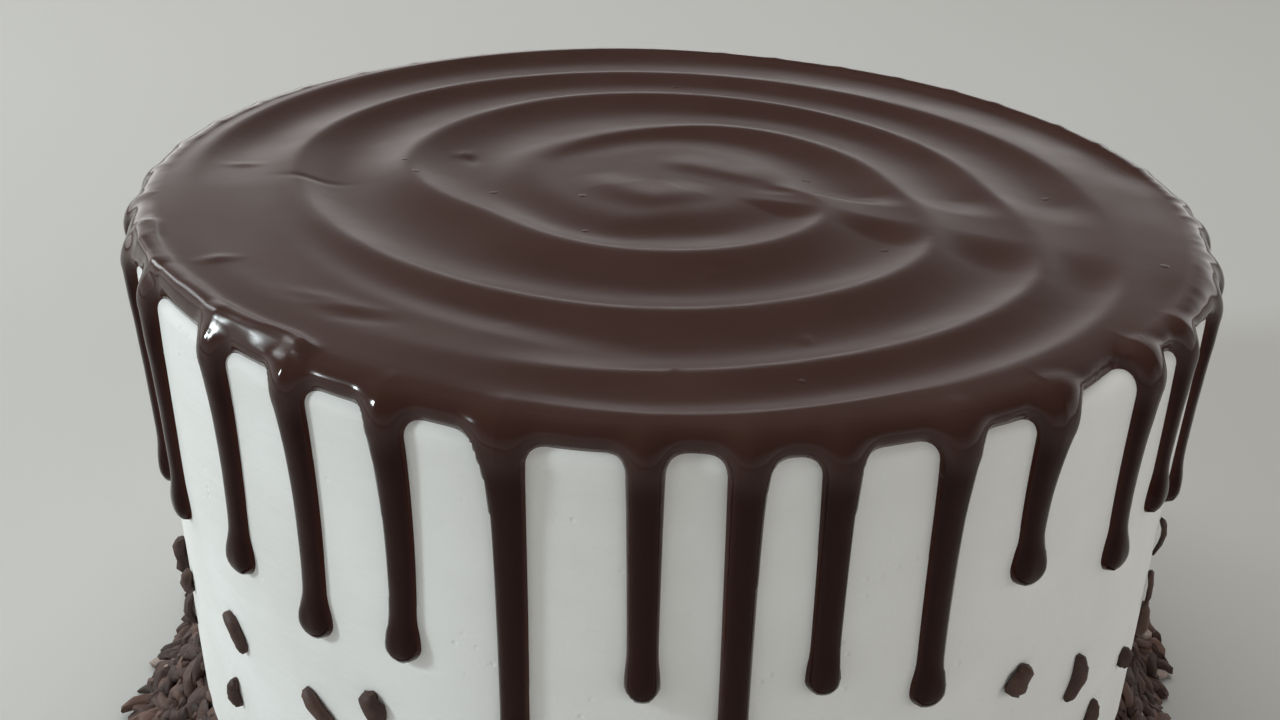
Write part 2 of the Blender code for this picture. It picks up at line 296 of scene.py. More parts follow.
def store_values(item: Item, name: str, values: Array) -> None:
    """Keeps one number for each vertex, for the material to read."""
    attribute = item.data.attributes.new(name, "FLOAT", "POINT")
    attribute.data.foreach_set("value", np.ascontiguousarray(values, dtype=np.float32))


class NodeWriter:
    """Adds nodes to one tree and links them."""

    def __init__(self, tree: bpy.types.NodeTree) -> None:
        """Keeps the tree."""
        self.tree = tree

    def add(self, kind: str, **settings: object) -> bpy.types.Node:
        """Adds a node and sets it up.

        Args:
            kind: Which node it is.
            settings: Its properties, and its inputs with an underscore for a space.

        Returns:
            The node.
        """
        node = self.tree.nodes.new(kind)
        for name, value in settings.items():
            if hasattr(node, name):
                setattr(node, name, value)
            else:
                node.inputs[name.replace("_", " ")].default_value = value
        return node

    def link(self, source: Socket, target: Socket) -> None:
        """Links two sockets."""
        self.tree.links.new(source, target)

    def attribute(self, name: str) -> Socket:
        """The socket of a number kept on the mesh."""
        return self.add("ShaderNodeAttribute", attribute_name=name).outputs["Fac"]

    def texture(self, kind: str, place: Socket, **settings: float) -> bpy.types.Node:
        """Adds a texture at a place.

        Args:
            kind: Noise or Voronoi.
            place: The socket of the place.
            settings: Its properties and inputs.

        Returns:
            The node.
        """
        node = self.add(f"ShaderNodeTex{kind}", **settings)
        self.link(place, node.inputs["Vector"])
        return node

    def product(self, first: Socket, second: Socket) -> Socket:
        """Multiplies two sockets.

        Args:
            first: One of them.
            second: The other.

        Returns:
            The socket of the product.
        """
        node = self.add("ShaderNodeMath", operation="MULTIPLY")
        self.link(first, node.inputs[0])
        self.link(second, node.inputs[1])
        return node.outputs[0]

    def graded(
        self, source: Socket, low: float, high: float, to_low: float = 0.0, to_high: float = 1.0
    ) -> Socket:
        """Maps a range of numbers to another.

        Args:
            source: What is mapped.
            low: Where the range starts.
            high: Where it ends.
            to_low: What its start becomes.
            to_high: What its end becomes.

        Returns:
            The socket of what comes out.
        """
        node = self.add("ShaderNodeMapRange", From_Min=low, From_Max=high, To_Min=to_low, To_Max=to_high)
        self.link(source, node.inputs["Value"])
        return node.outputs["Result"]

    def mixed(self, share: Socket, first: object, second: object) -> Socket:
        """Mixes two colours, each a socket or four numbers.

        Args:
            share: How much of the second there is.
            first: The first colour.
            second: The second colour.

        Returns:
            The socket of the mix.
        """
        node = self.add("ShaderNodeMix", data_type="RGBA")
        self.link(share, node.inputs[0])
        for socket, value in ((node.inputs[6], first), (node.inputs[7], second)):
            if isinstance(value, Socket):
                self.link(value, socket)
            else:
                socket.default_value = value
        return node.outputs[2]

    def sum(self, *terms: tuple[Socket, float]) -> Socket:
        """Adds sockets.

        Args:
            terms: Each socket with the number that it is multiplied by.

        Returns:
            The socket of the sum.
        """
        total = None
        for socket, factor in terms:
            node = self.add("ShaderNodeMath", operation="MULTIPLY_ADD")
            self.link(socket, node.inputs[0])
            node.inputs[1].default_value = factor
            node.inputs[2].default_value = 0.0
            if total is not None:
                self.link(total, node.inputs[2])
            total = node.outputs[0]
        return total


def mottle_group() -> bpy.types.NodeTree:
    """A node group that more than one finish uses: cloudy mottling and fine grain at a given scale.

    Returns:
        The group, with Vector, Scale and Grain Scale in, and Clouds and Grain out.
    """
    made = bpy.data.node_groups.get("mottle")
    if made:
        return made
    made = bpy.data.node_groups.new("mottle", "ShaderNodeTree")
    made.interface.new_socket("Vector", in_out="INPUT", socket_type="NodeSocketVector")
    for name, value in (("Scale", 60.0), ("Grain Scale", 900.0)):
        socket = made.interface.new_socket(name, in_out="INPUT", socket_type="NodeSocketFloat")
        socket.default_value = value
    for name in ("Clouds", "Grain"):
        made.interface.new_socket(name, in_out="OUTPUT", socket_type="NodeSocketFloat")
    nodes = NodeWriter(made)
    inlet = nodes.add("NodeGroupInput")
    outlet = nodes.add("NodeGroupOutput")
    for scale, detail, name in (("Scale", 3.0, "Clouds"), ("Grain Scale", 2.0, "Grain")):
        noise = nodes.texture("Noise", inlet.outputs["Vector"], Detail=detail, Roughness=0.55)
        nodes.link(inlet.outputs[scale], noise.inputs["Scale"])
        nodes.link(noise.outputs["Fac"], outlet.inputs[name])
    return made


@dataclass(frozen=True)
class Finish:
    """What every finish of the cake shares: a name, and a Principled shader fed by object coordinates."""

    name: str

    def start(self) -> tuple[bpy.types.Material, NodeWriter, bpy.types.Node, Socket]:
        """Makes the material with its shader.

        Returns:
            The material, its node writer, its shader and the object coordinates.
        """
        made = bpy.data.materials.new(self.name)
        made.use_nodes = True
        nodes = NodeWriter(made.node_tree)
        shader = made.node_tree.nodes["Principled BSDF"]
        place = nodes.add("ShaderNodeTexCoord").outputs["Object"]
        return made, nodes, shader, place

    def mottling(
        self, nodes: NodeWriter, place: Socket, scale: float, grain: float
    ) -> tuple[Socket, Socket]:
        """Places the mottle group.

        Args:
            nodes: The material's node writer.
            place: The socket of the place.
            scale: The scale of the clouds.
            grain: The scale of the grain.

        Returns:
            The sockets of the clouds and the grain.
        """
        group = nodes.add("ShaderNodeGroup", node_tree=mottle_group())
        nodes.link(place, group.inputs["Vector"])
        group.inputs["Scale"].default_value = scale
        group.inputs["Grain Scale"].default_value = grain
        return group.outputs["Clouds"], group.outputs["Grain"]

    def bump(self, nodes: NodeWriter, shader: bpy.types.Node, height: Socket, depth: float) -> None:
        """Feeds a height through a bump to the shader's normal.

        Args:
            nodes: The material's node writer.
            shader: Its shader.
            height: The socket of the height.
            depth: What a height of 1 stands for, in metres.
        """
        node = nodes.add("ShaderNodeBump", Strength=1.0, Distance=depth)
        nodes.link(height, node.inputs["Height"])
        nodes.link(node.outputs["Normal"], shader.inputs["Normal"])


@dataclass(frozen=True)
class FrostingFinish(Finish):
    """Matt whipped frosting, scraped smooth: nearly white, with fine pits and faint smears."""

    light: tuple = (0.875, 0.880, 0.865, 1.0)
    shade: tuple = (0.805, 0.805, 0.780, 1.0)
    roughness: float = 0.62
    pit_scale: float = 420.0
    pit_patches: float = 120.0
    relief: float = 0.0007

    def material(self) -> bpy.types.Material:
        """Builds the node tree.

        Returns:
            The material.
        """
        made, nodes, shader, place = self.start()
        clouds, grain = self.mottling(nodes, place, 28.0, 1500.0)
        share = nodes.graded(clouds, 0.35, 0.68)
        nodes.link(nodes.mixed(share, self.shade, self.light), shader.inputs["Base Color"])
        smear_place = nodes.add("ShaderNodeMapping")
        smear_place.inputs["Scale"].default_value = (1.0, 1.0, 7.0)
        nodes.link(place, smear_place.inputs["Vector"])
        smears = nodes.texture("Noise", smear_place.outputs["Vector"], Scale=38.0, Detail=4.0, Roughness=0.6)
        pits = nodes.texture("Voronoi", place, Scale=self.pit_scale)
        pit = nodes.graded(pits.outputs["Distance"], 0.05, 0.28, -1.0, 0.0)
        sparse = nodes.texture("Noise", place, Scale=self.pit_patches, Detail=1.0)
        holes = nodes.product(pit, nodes.graded(sparse.outputs["Fac"], 0.60, 0.68))
        height = nodes.sum((smears.outputs["Fac"], 0.34), (grain, 0.08), (holes, 0.20))
        self.bump(nodes, shader, height, self.relief)
        rough = nodes.graded(clouds, 0.3, 0.7, self.roughness + 0.06, self.roughness - 0.06)
        nodes.link(rough, shader.inputs["Roughness"])
        shader.inputs["Specular IOR Level"].default_value = 0.35
        return made


@dataclass(frozen=True)
class GanacheFinish(Finish):
    """Dark ganache: satin where a spatula smoothed it, glossy where it ran, redder where it is thin; its top
    is painted paler as sheen, and its side and drips darker as shade.
    """

    # The top's two tones are painted paler than the ganache itself: painted sheen, mottled at random between
    # them.
    top_tone_with_painted_sheen: tuple = (0.0440, 0.0195, 0.0150, 1.0)
    paler_top_tone_with_painted_sheen: tuple = (0.0510, 0.0235, 0.0185, 1.0)
    # The colour of the side and the drips: the same ganache painted darker, as painted shade.
    dark: tuple = (0.0200, 0.0042, 0.0030, 1.0)
    thin: tuple = (0.0600, 0.0150, 0.0090, 1.0)
    satin: float = 0.37
    gloss: float = 0.11
    index: float = 1.38
    bubble_scale: float = 62.0
    ripple_scale: float = 150.0
    relief: float = 0.00025
    mirror: tuple = (0.50, 0.24)

    def material(self) -> bpy.types.Material:
        """Builds the node tree.

        Returns:
            The material.
        """
        made, nodes, shader, place = self.start()
        clouds, grain = self.mottling(nodes, place, 45.0, 700.0)
        film, wet, side = (nodes.attribute(name) for name in ("film", "wet", "side"))
        share = nodes.graded(clouds, 0.35, 0.7)
        # Down the side the top's painted sheen gives way to the drips' painted shade.
        body = nodes.mixed(side, nodes.mixed(share, self.top_tone_with_painted_sheen, self.paler_top_tone_with_painted_sheen), self.dark)
        edge = nodes.graded(film, 0.0002, 0.0012, 0.8, 0.0)
        nodes.link(nodes.mixed(edge, body, self.thin), shader.inputs["Base Color"])
        dry = nodes.graded(clouds, 0.3, 0.7, self.satin - 0.04, self.satin + 0.05)
        gap = nodes.add("ShaderNodeMapRange")
        nodes.link(wet, gap.inputs["Value"])
        nodes.link(dry, gap.inputs["To Min"])
        gap.inputs["To Max"].default_value = self.gloss
        nodes.link(gap.outputs["Result"], shader.inputs["Roughness"])
        cells = nodes.texture("Voronoi", place, Scale=self.bubble_scale)
        bubble = nodes.graded(cells.outputs["Distance"], 0.030, 0.055, 1.0, 0.0)
        ripples = nodes.texture("Noise", place, Scale=self.ripple_scale, Detail=1.0)
        ripple = nodes.product(ripples.outputs["Fac"], wet)
        height = nodes.sum((clouds, 0.5), (grain, 0.02), (bubble, 0.9), (ripple, 0.9))
        self.bump(nodes, shader, height, self.relief)
        nodes.link(nodes.graded(side, 0.0, 1.0, *self.mirror), shader.inputs["Specular IOR Level"])
        shader.inputs["IOR"].default_value = self.index
        return made


@dataclass(frozen=True)
class ShavedFinish(Finish):
    """Freshly shaved chocolate: matt brown, each piece with its own tone, paler where it broke."""

    dark: tuple = (0.030, 0.0150, 0.0115, 1.0)
    pale: tuple = (0.155, 0.088, 0.070, 1.0)
    dusty: tuple = (0.42, 0.35, 0.31, 1.0)
    roughness: float = 0.55

    def material(self) -> bpy.types.Material:
        """Builds the node tree.

        Returns:
            The material.
        """
        made, nodes, shader, place = self.start()
        clouds, grain = self.mottling(nodes, place, 420.0, 2600.0)
        tone = nodes.attribute("tone")
        share = nodes.sum((tone, 0.75), (clouds, 0.50), (grain, 0.25))
        body = nodes.mixed(nodes.graded(share, 0.45, 1.15), self.dark, self.pale)
        dust = nodes.graded(nodes.sum((tone, 1.0), (grain, 0.25)), 1.03, 1.18)
        nodes.link(nodes.mixed(dust, body, self.dusty), shader.inputs["Base Color"])
        rough = nodes.graded(clouds, 0.3, 0.7, self.roughness - 0.08, self.roughness + 0.12)
        nodes.link(rough, shader.inputs["Roughness"])
        self.bump(nodes, shader, nodes.sum((clouds, 0.6), (grain, 0.25)), 0.0004)
        shader.inputs["Specular IOR Level"].default_value = 0.35
        return made


@dataclass(frozen=True)
class FloorFinish(Finish):
    """Plain pale floor with the faintest unevenness."""

    colour: tuple = (0.500, 0.497, 0.480, 1.0)
    other: tuple = (0.520, 0.517, 0.500, 1.0)

    def material(self) -> bpy.types.Material:
        """Builds the node tree.

        Returns:
            The material.
        """
        made, nodes, shader, place = self.start()
        clouds, _ = self.mottling(nodes, place, 2.0, 60.0)
        nodes.link(nodes.mixed(clouds, self.colour, self.other), shader.inputs["Base Color"])
        shader.inputs["Roughness"].default_value = 0.9
        shader.inputs["Specular IOR Level"].default_value = 0.2
        return made


@dataclass(frozen=True)
class CakeShape:
    """The frosted cake's form, which all that lies on it follows."""

    radius: float = 0.108
    height: float = 0.119
    edge: float = 0.004
    fall_right: float = 0.025
    fall_back: float = 0.010
    uneven: float = 0.00022
    uneven_below: tuple = (0.0, 0.012)
    uneven_above: tuple = (0.0, 0.02)

    @property
    def edge_start(self) -> float:
        """The run at which the top turns into the rounded edge."""
        return self.edge * (1.0 - math.pi / 2)

    def section(self, run: Array, lift: Array) -> tuple[Array, Array]:
        """Radius and height of points lifted off the skin.

        Args:
            run: Where the points are along the skin.
            lift: How far they stand off it.

        Returns:
            The radii and the heights.
        """
        start = self.edge_start
        angle = np.clip((run - start) / self.edge, 0.0, math.pi / 2)
        inwards = np.minimum(run - start, 0.0)
        down = np.maximum(run - self.edge, 0.0)
        radius = self.radius - self.edge + inwards + (self.edge + lift) * np.sin(angle)
        height = self.height - self.edge - down + (self.edge + lift) * np.cos(angle)
        return radius, height

    def run_of(self, radius: Array, height: Array) -> Array:
        """The run of points that lie on the skin.

        Args:
            radius: Their distances from the axis.
            height: Their heights.

        Returns:
            The runs.
        """
        start = self.edge_start
        inner = self.radius - self.edge
        turned = start + self.edge * np.arctan2(radius - inner, height - (self.height - self.edge))
        on_top = radius <= inner + 1e-7
        on_side = height <= self.height - self.edge + 1e-7
        return np.where(on_top, start + radius - inner, np.where(on_side, self.height - height, turned))

    def place(self, azimuth: Array, run: Array, lift: Array) -> Array:
        """Points off the skin in space, with the skin's unevenness and the top's slight fall.

        Args:
            azimuth: Azimuths in radians.
            run: Runs along the skin.
            lift: Distances off it.

        Returns:
            Rows of x, y and z.
        """
        radius, height = self.section(run, lift)
        side = smooth_step(run, *self.uneven_below) * smooth_step(height, *self.uneven_above)
        radius = radius + self.uneven * side * waves(azimuth, height, 9, 5)
        x, y = radius * np.sin(azimuth), -radius * np.cos(azimuth)
        share = np.clip(height / self.height, 0.0, 1.0)
        return np.stack([x, y, height - share * (self.fall_right * x + self.fall_back * y)], axis=-1)


@dataclass
class Drip:
    """One drip: its place and length, how far its middle strays sideways and how far its shoulders reach."""

    azimuth: float
    length: float
    sway: float = 0.0
    left: float = 0.0006
    right: float = 0.0006


@dataclass
class CakePlan:
    """Where the drips and the stuck shavings are: in view by measure, elsewhere by chance from one seed.

    A drip has its azimuth in degrees, its length, its sway and its left and right shoulder. A stuck shaving
    has its azimuth in degrees, its height, its turn in degrees, its length, its width and its kind.
    """

    front_drips: tuple = (
        (-75.9, 0.0480, 0.0000, 0.0010, 0.0004),
        (-66.3, 0.0500, 0.0000, 0.0010, 0.0004),
        (-56.4, 0.0476, 0.0012, 0.0012, 0.0002),
        (-42.5, 0.0450, 0.0010, 0.0014, 0.0002),
        (-32.4, 0.0490, 0.0012, 0.0016, 0.0002),
        (-22.6, 0.0463, 0.0010, 0.0014, 0.0004),
        (-12.4, 0.0620, 0.0002, 0.0034, 0.0008),
        (-1.5, 0.0459, 0.0000, 0.0004, 0.0004),
        (6.2, 0.0580, 0.0000, 0.0002, 0.0016),
        (13.6, 0.0451, 0.0000, 0.0004, 0.0010),
        (23.7, 0.0520, -0.0004, 0.0012, 0.0016),
        (33.1, 0.0330, -0.0008, 0.0004, 0.0040),
        (46.4, 0.0405, -0.0012, 0.0004, 0.0026),
        (54.3, 0.0355, 0.0004, 0.0004, 0.0016),
        (66.0, 0.0455, 0.0006, 0.0006, 0.0010),
        (73.0, 0.0300, 0.0000, 0.0006, 0.0006),
    )
    stuck_in_view: tuple = (
        (-45.9, 0.0578, 40, 0.0084, 0.0030, "STICK"),
        (-48.6, 0.0406, 4, 0.0062, 0.0023, "STICK"),
        (-33.3, 0.0540, 50, 0.0084, 0.0030, "STICK"),
        (-26.3, 0.0606, 20, 0.0058, 0.0042, "CHUNK"),
        (34.3, 0.0654, -25, 0.0058, 0.0044, "CHUNK"),
        (43.6, 0.0572, -10, 0.0096, 0.0026, "STICK"),
        (55.7, 0.0478, -15, 0.0040, 0.0030, "CHUNK"),
        (48.8, 0.0422, -15, 0.0062, 0.0022, "STICK"),
        (-66.4, 0.0512, 8, 0.0080, 0.0034, "CHUNK"),
        (-62.8, 0.0495, -20, 0.0064, 0.0030, "STICK"),
        (-66.5, 0.0375, 10, 0.0074, 0.0032, "CURL"),
        (65.5, 0.0660, 4, 0.0088, 0.0022, "FLAKE"),
        (64.0, 0.0545, -20, 0.0082, 0.0026, "FLAKE"),
        (67.0, 0.0430, 6, 0.0088, 0.0028, "STICK"),
    )
    radius: float = 0.108
    spacing: float = 0.0125
    back_from: float = 82.0
    back_to: float = 275.0
    back_count: int = 22
    stuck_count: int = 44
    stuck_heights: tuple = (0.032, 0.066)
    drips: list = field(default_factory=list)
    stuck: list = field(default_factory=list)

    def __post_init__(self) -> None:
        """Draws the chance values in the order in which the solids were drawn."""
        rng = random.Random(SEED)
        self.stuck = [list(row) for row in self.stuck_in_view]
        low, high = self.stuck_heights
        for index in range(self.stuck_count):
            degrees = index * GOLDEN_ANGLE % 360.0 - 180.0
            height = low + (high - low) * rng.random() ** 1.6
            turn = math.degrees(rng.uniform(-math.radians(70), math.radians(70)))
            length = rng.uniform(0.0050, 0.0080)
            width = rng.uniform(0.0026, 0.0038)
            near = any(
                math.hypot(math.radians(degrees - row[0]) * self.radius, height - row[1]) < self.spacing
                for row in self.stuck
            )
            if not near:
                kind = ("STICK", "CURL", "STICK", "CHUNK")[index % 4]
                self.stuck.append([degrees, height, turn, length, width, kind])
        self.drips = [Drip(math.radians(row[0]), *row[1:]) for row in self.front_drips]
        step = (self.back_to - self.back_from) / (self.back_count - 1)
        for index in range(self.back_count):
            degrees = self.back_from + step * index + rng.uniform(-1.6, 1.6)
            self.drips.append(Drip(math.radians(degrees), rng.uniform(0.026, 0.054)))


@dataclass
class FrostedBody:
    """The frosted cake: a fine skin with a scraped side, under the ganache and behind the shavings."""

    shape: CakeShape
    steps: int = 480
    row: float = 0.0016
    base_edge: float = 0.001

    def outline(self) -> list[tuple[float, float]]:
        """Draws the section from the axis over the top and down to the base.

        Returns:
            Pairs of radius and height.
        """
        shape = self.shape
        runs = np.concatenate(
            [
                np.linspace(shape.edge_start - shape.radius + shape.edge, shape.edge_start, 8)[:-1],
                np.linspace(shape.edge_start, shape.edge, 9)[:-1],
                np.arange(shape.edge, shape.height - self.base_edge, self.row),
                [shape.height - self.base_edge],
            ]
        )
        radii, heights = shape.section(runs, np.zeros_like(runs))
        points = list(zip(radii.tolist(), heights.tolist()))
        return points + [(shape.radius - self.base_edge, 0.0), (0.0, 0.0)]

    def build(self) -> Item:
        """Turns the section and scrapes the side a little uneven.

        Returns:
            The piece.
        """
        body = turned_skin("frosting", self.outline(), self.steps)
        places = corners_of(body)
        radius, azimuth = polar(places)
        under = (places[:, 2] < self.base_edge - 1e-6) | (radius < 1e-6)
        run = self.shape.run_of(radius, places[:, 2])
        moved = self.shape.place(azimuth, run, np.zeros_like(run))
        low = places[:, 2] < 0.5 * self.base_edge
        moved[low] = places[low]
        centre = under & ~low
        moved[centre, :2] = 0.0
        move_corners(body, moved)
        face_outwards(body)
        body.data.shade_smooth()
        return body


@dataclass(frozen=True)
class Sector:
    """A part of the top where the swirl is fainter.

    It sets in and ends over two ranges of degrees, and it is reached over a range of shares of the radius.
    """

    start: tuple
    end: tuple
    faint: float
    shares: tuple

    def weight(self, degrees: Array, share: Array) -> Array:
        """What is left of the swirl at each place, from 0 to 1."""
        inside = smooth_step(degrees, *self.start) * smooth_step(degrees, *self.end)
        return 1.0 - self.faint * (inside * smooth_step(share, *self.shares))


@dataclass
class Swirl:
    """The two-armed spiral that a spatula left: crests with hollows between them.

    Each arm is a list of degrees, counted on past a full turn, and of its crest's share of the radius. Both
    wind round a point a little in front of the axis, which scale and shift allow for.
    """

    depth: float = 0.0025
    first_arm: tuple = (
        (-360, 1.6), (-90, 1.08), (-45, 1.0), (0, 0.94), (20, 0.90), (60, 0.875), (90, 0.81), (135, 0.79),
        (180, 0.785), (225, 0.785), (250, 0.77), (270, 0.74), (300, 0.665), (315, 0.64), (330, 0.62),
        (360, 0.60), (380, 0.575), (405, 0.555), (420, 0.545), (450, 0.43), (495, 0.40), (510, 0.395),
        (530, 0.37), (540, 0.34), (560, 0.31), (585, 0.29), (600, 0.28), (620, 0.25), (640, 0.17),
        (660, 0.13), (720, 0.10), (780, 0.07), (860, 0.0), (1080, -0.2),
    )
    second_arm: tuple = (
        (-360, 1.4), (-180, 1.04), (-90, 0.93), (-45, 0.87), (0, 0.81), (15, 0.78), (45, 0.75), (60, 0.745),
        (90, 0.61), (135, 0.60), (180, 0.605), (200, 0.60), (225, 0.57), (250, 0.545), (270, 0.52),
        (300, 0.39), (315, 0.38), (340, 0.375), (360, 0.362), (380, 0.35), (405, 0.335), (420, 0.33),
        (435, 0.30), (450, 0.20), (470, 0.17), (495, 0.125), (510, 0.10), (540, 0.07), (600, 0.03),
        (680, 0.0), (1080, -0.4),
    )
    easing: float = 7.0
    lean: float = 0.84
    crest: float = 0.22
    scale: float = 1.02
    shift: float = 0.052
    eye: tuple = (0.30, 0.15)
    eye_wider: float = 0.07
    eye_depth: float = 0.0011
    rim: tuple = (1.0, 0.92)
    sectors: tuple = (
        Sector((-105.0, -80.0), (2.0, -22.0), 0.85, (0.66, 0.76)),
        Sector((62.0, 74.0), (104.0, 92.0), 0.60, (0.72, 0.85)),
        Sector((58.0, 70.0), (90.0, 78.0), 0.70, (-2.0, -1.0)),
    )

    def drop(self, azimuth: Array, share: Array) -> Array:
        """How far the surface lies below its crests.

        Args:
            azimuth: Azimuths in radians.
            share: Shares of the cake's radius.

        Returns:
            The depths in metres.
        """
        true_share = share
        x, y = self.scale * share * np.sin(azimuth), self.shift - self.scale * share * np.cos(azimuth)
        azimuth, share = np.arctan2(x, -y), np.hypot(x, y)
        degrees = np.degrees(azimuth) % 360.0
        tables = [eased_table(arm, self.easing, 1.0) for arm in (self.first_arm, self.second_arm)]
        turns = (-360.0, 0.0, 360.0, 720.0)
        lines = [np.interp(degrees + turn, *table) for turn in turns for table in tables]
        result = np.zeros_like(share)
        for outer, inner in zip(lines, lines[1:]):
            gap = np.maximum(outer - inner, 0.01)
            phase = (outer - share) / gap
            inside = (phase >= 0.0) & (phase < 1.0)
            hollow = np.sin(math.pi * np.clip(phase, 0.0, 1.0) ** self.lean)
            hollow = np.sqrt(hollow * hollow + self.crest**2) - self.crest
            result = np.where(inside, hollow * np.minimum(gap / 0.2, 1.15), result)
        turned = (np.degrees(azimuth) + 180.0) % 360.0 - 180.0
        wider = self.eye_wider * smooth_step(np.abs(turned + 70.0), 75.0, 40.0)
        eye = smooth_step(true_share - wider, *self.eye)
        weight = np.ones_like(share)
        for sector in self.sectors:
            weight *= sector.weight(turned, share)
        weight *= (1.0 - eye) * smooth_step(true_share, *self.rim)
        return self.depth * result * weight + self.eye_depth * eye


@dataclass(frozen=True)
class Ridge:
    """A pushed-up line on top, gentle on its left and steep on its right.

    Its points are shares of the radius.
    """

    points: tuple
    height: float
    gentle: float
    steep: float
    ends: float = 0.004
    starts: float = -0.001
    flank: tuple = (-0.0004, 0.0004)

    def height_at(self, x: Array, y: Array, radius: float) -> Array:
        """How much it adds to the thickness.

        Args:
            x: Shares of the radius to the right.
            y: Shares of the radius towards the back.
            radius: The cake's radius.

        Returns:
            The heights in metres.
        """
        corners = np.array(self.points)
        lengths = np.hypot(*np.diff(corners, axis=0).T)
        whole = lengths.sum()
        nearest, side, place = np.full(x.shape, 9.0), np.zeros_like(x), np.zeros_like(x)
        passed = 0.0
        for (ax, ay), (bx, by), length in zip(corners, corners[1:], lengths):
            dx, dy = (bx - ax) / length, (by - ay) / length
            along = np.clip((x - ax) * dx + (y - ay) * dy, 0.0, length)
            distance = np.hypot(x - ax - along * dx, y - ay - along * dy)
            closer = distance < nearest
            nearest = np.where(closer, distance, nearest)
            side = np.where(closer, (y - ay) * dx - (x - ax) * dy, side)
            place = np.where(closer, passed + along, place)
            passed += length
        width = self.steep + (self.gentle - self.steep) * smooth_step(side * radius, *self.flank)
        fade = smooth_step(np.minimum(place, whole - place) * radius, self.starts, self.ends)
        return self.height * fade * np.exp(-0.5 * (nearest * radius / width) ** 2)


@dataclass
class Ganache:
    """The ganache: one skin that is swirled on top, rolls over the edge and runs down in drips.

    The thickness is given at runs, and the rim's reach down the side at degrees. Marks are small bumps and
    dents on top: x and y as shares of the radius, the way they point in degrees, half length, half width and
    height in metres. An easing is a spread and a step, and the rim at the back has a reach and a swing.
    """

    shape: CakeShape
    plan: CakePlan
    swirl: Swirl = field(default_factory=Swirl)
    thickness: tuple = (
        (-0.110, 0.00420), (-0.0050, 0.0038), (-0.0026, 0.0037), (-0.0010, 0.0036), (0.0004, 0.0034),
        (0.0012, 0.0031), (0.0040, 0.0027), (0.0080, 0.0023), (0.0140, 0.0020), (0.0240, 0.0018),
        (0.0700, 0.0018),
    )
    rims: tuple = (
        (-90, 0.0014), (-72, 0.0012), (-67, 0.0030), (-61, 0.0012), (-50, 0.0007), (-39, 0.0009),
        (-29, 0.0011), (-19, 0.0009), (-7, 0.0017), (2, 0.0007), (10, 0.0017), (19, 0.0009),
        (30, 0.0009), (39, -0.0006), (44, -0.0022), (49, 0.0004), (55, 0.0008), (67, 0.0030),
        (76, 0.0012), (90, 0.0014),
    )
    marks: tuple = (
        (-0.41, 0.12, 100.0, 0.0020, 0.0008, -0.0003),
        (-0.43, 0.15, 60.0, 0.0018, 0.0008, 0.0003),
        (-0.84, 0.00, 10.0, 0.0022, 0.0010, 0.0003),
        (-0.69, -0.06, 5.0, 0.0040, 0.0008, -0.0002),
        (-0.74, -0.48, 20.0, 0.0020, 0.0009, 0.0003),
        (-0.50, -0.64, -10.0, 0.0045, 0.0008, 0.0003),
        (-0.47, -0.68, -8.0, 0.0040, 0.0008, -0.0002),
        (-0.54, -0.61, -20.0, 0.0040, 0.0008, 0.0003),
        (0.07, -0.42, 0.0, 0.0006, 0.0006, 0.0003),
        (0.01, -0.80, 0.0, 0.0006, 0.0006, 0.0003),
        (0.21, -0.65, 0.0, 0.0008, 0.0008, 0.0003),
        (-0.25, -0.67, 0.0, 0.0006, 0.0006, 0.0002),
        (0.33, -0.66, 10.0, 0.0020, 0.0006, 0.0003),
    )
    lip: Ridge = Ridge(
        (
            (-0.900, -0.360), (-0.866, -0.447), (-0.836, -0.501), (-0.798, -0.561), (-0.755, -0.614),
            (-0.725, -0.646), (-0.684, -0.692), (-0.652, -0.720), (-0.620, -0.745), (-0.595, -0.763),
            (-0.569, -0.778), (-0.543, -0.794), (-0.516, -0.818), (-0.492, -0.837),
        ),
        0.0014, 0.0012, 0.0006,
    )
    fold: Ridge = Ridge(
        (
            (-0.042, 0.094), (-0.016, 0.085), (0.014, 0.070), (0.054, 0.052), (0.094, 0.032), (0.141, 0.009),
            (0.180, -0.008), (0.212, -0.027),
        ),
        0.00045, 0.0042, 0.0024, 0.010,
    )
    crescent: Ridge = Ridge(
        (
            (-0.150, -0.010), (-0.133, -0.040), (-0.114, -0.075), (-0.089, -0.101), (-0.060, -0.120),
            (-0.031, -0.127), (0.000, -0.117), (0.034, -0.091), (0.065, -0.048),
        ),
        0.00060, 0.0044, 0.0032, 0.010,
    )
    inner_steps: int = 300
    inner_rows: int = 38
    middle_rows: int = 50
    inner_share: float = 0.36
    rim_share: float = 0.93
    edge_rows: tuple = (11, 16)
    row: float = 0.00085
    lowest: float = 0.064
    rim_easing: tuple = (1.6, 0.25)
    back_rim: tuple = (0.0012, 0.0007)
    back_from: tuple = (70.0, 90.0)
    fillet: float = 0.0032
    drip_half_turn: float = 0.16
    shaft: tuple = (0.00285, 0.00262)
    shaft_ends: tuple = (0.004, 0.006)
    soft_middle: float = 0.0005
    shoulder: float = 0.0055
    neck: float = 0.0062
    bulb: float = 0.0036
    bulb_long: float = 1.12
    slimmer: float = 0.0006
    slimmer_within: tuple = (30.0, 15.0)
    first_row: float = 0.00040
    probe: float = 0.00004
    furthest_slide: float = 0.0006
    thickness_easing: tuple = (0.0010, 0.0001)
    rim_width: float = 0.0040
    rim_roll: float = 2.6
    bead_from: tuple = (0.003, 0.010)
    swirl_from: tuple = (0.0, -0.004)
    bulb_half_turn: float = 0.045
    bulb_below: float = 0.010
    bulb_out: float = 0.0007
    bulb_up: float = 0.0042
    bulb_reach: float = 0.0030
    marks_end: float = 0.004
    sink: float = 0.00025
    wet_in_front: tuple = (1.35, 0.80)
    wet_further: float = 0.0022
    wet_from: tuple = (-0.0045, -0.0015)
    # Over these runs the colour turns from the top's painted sheen to the drips' painted shade, and the
    # reflection weakens.
    side_from: tuple = (-0.0005, 0.0080)

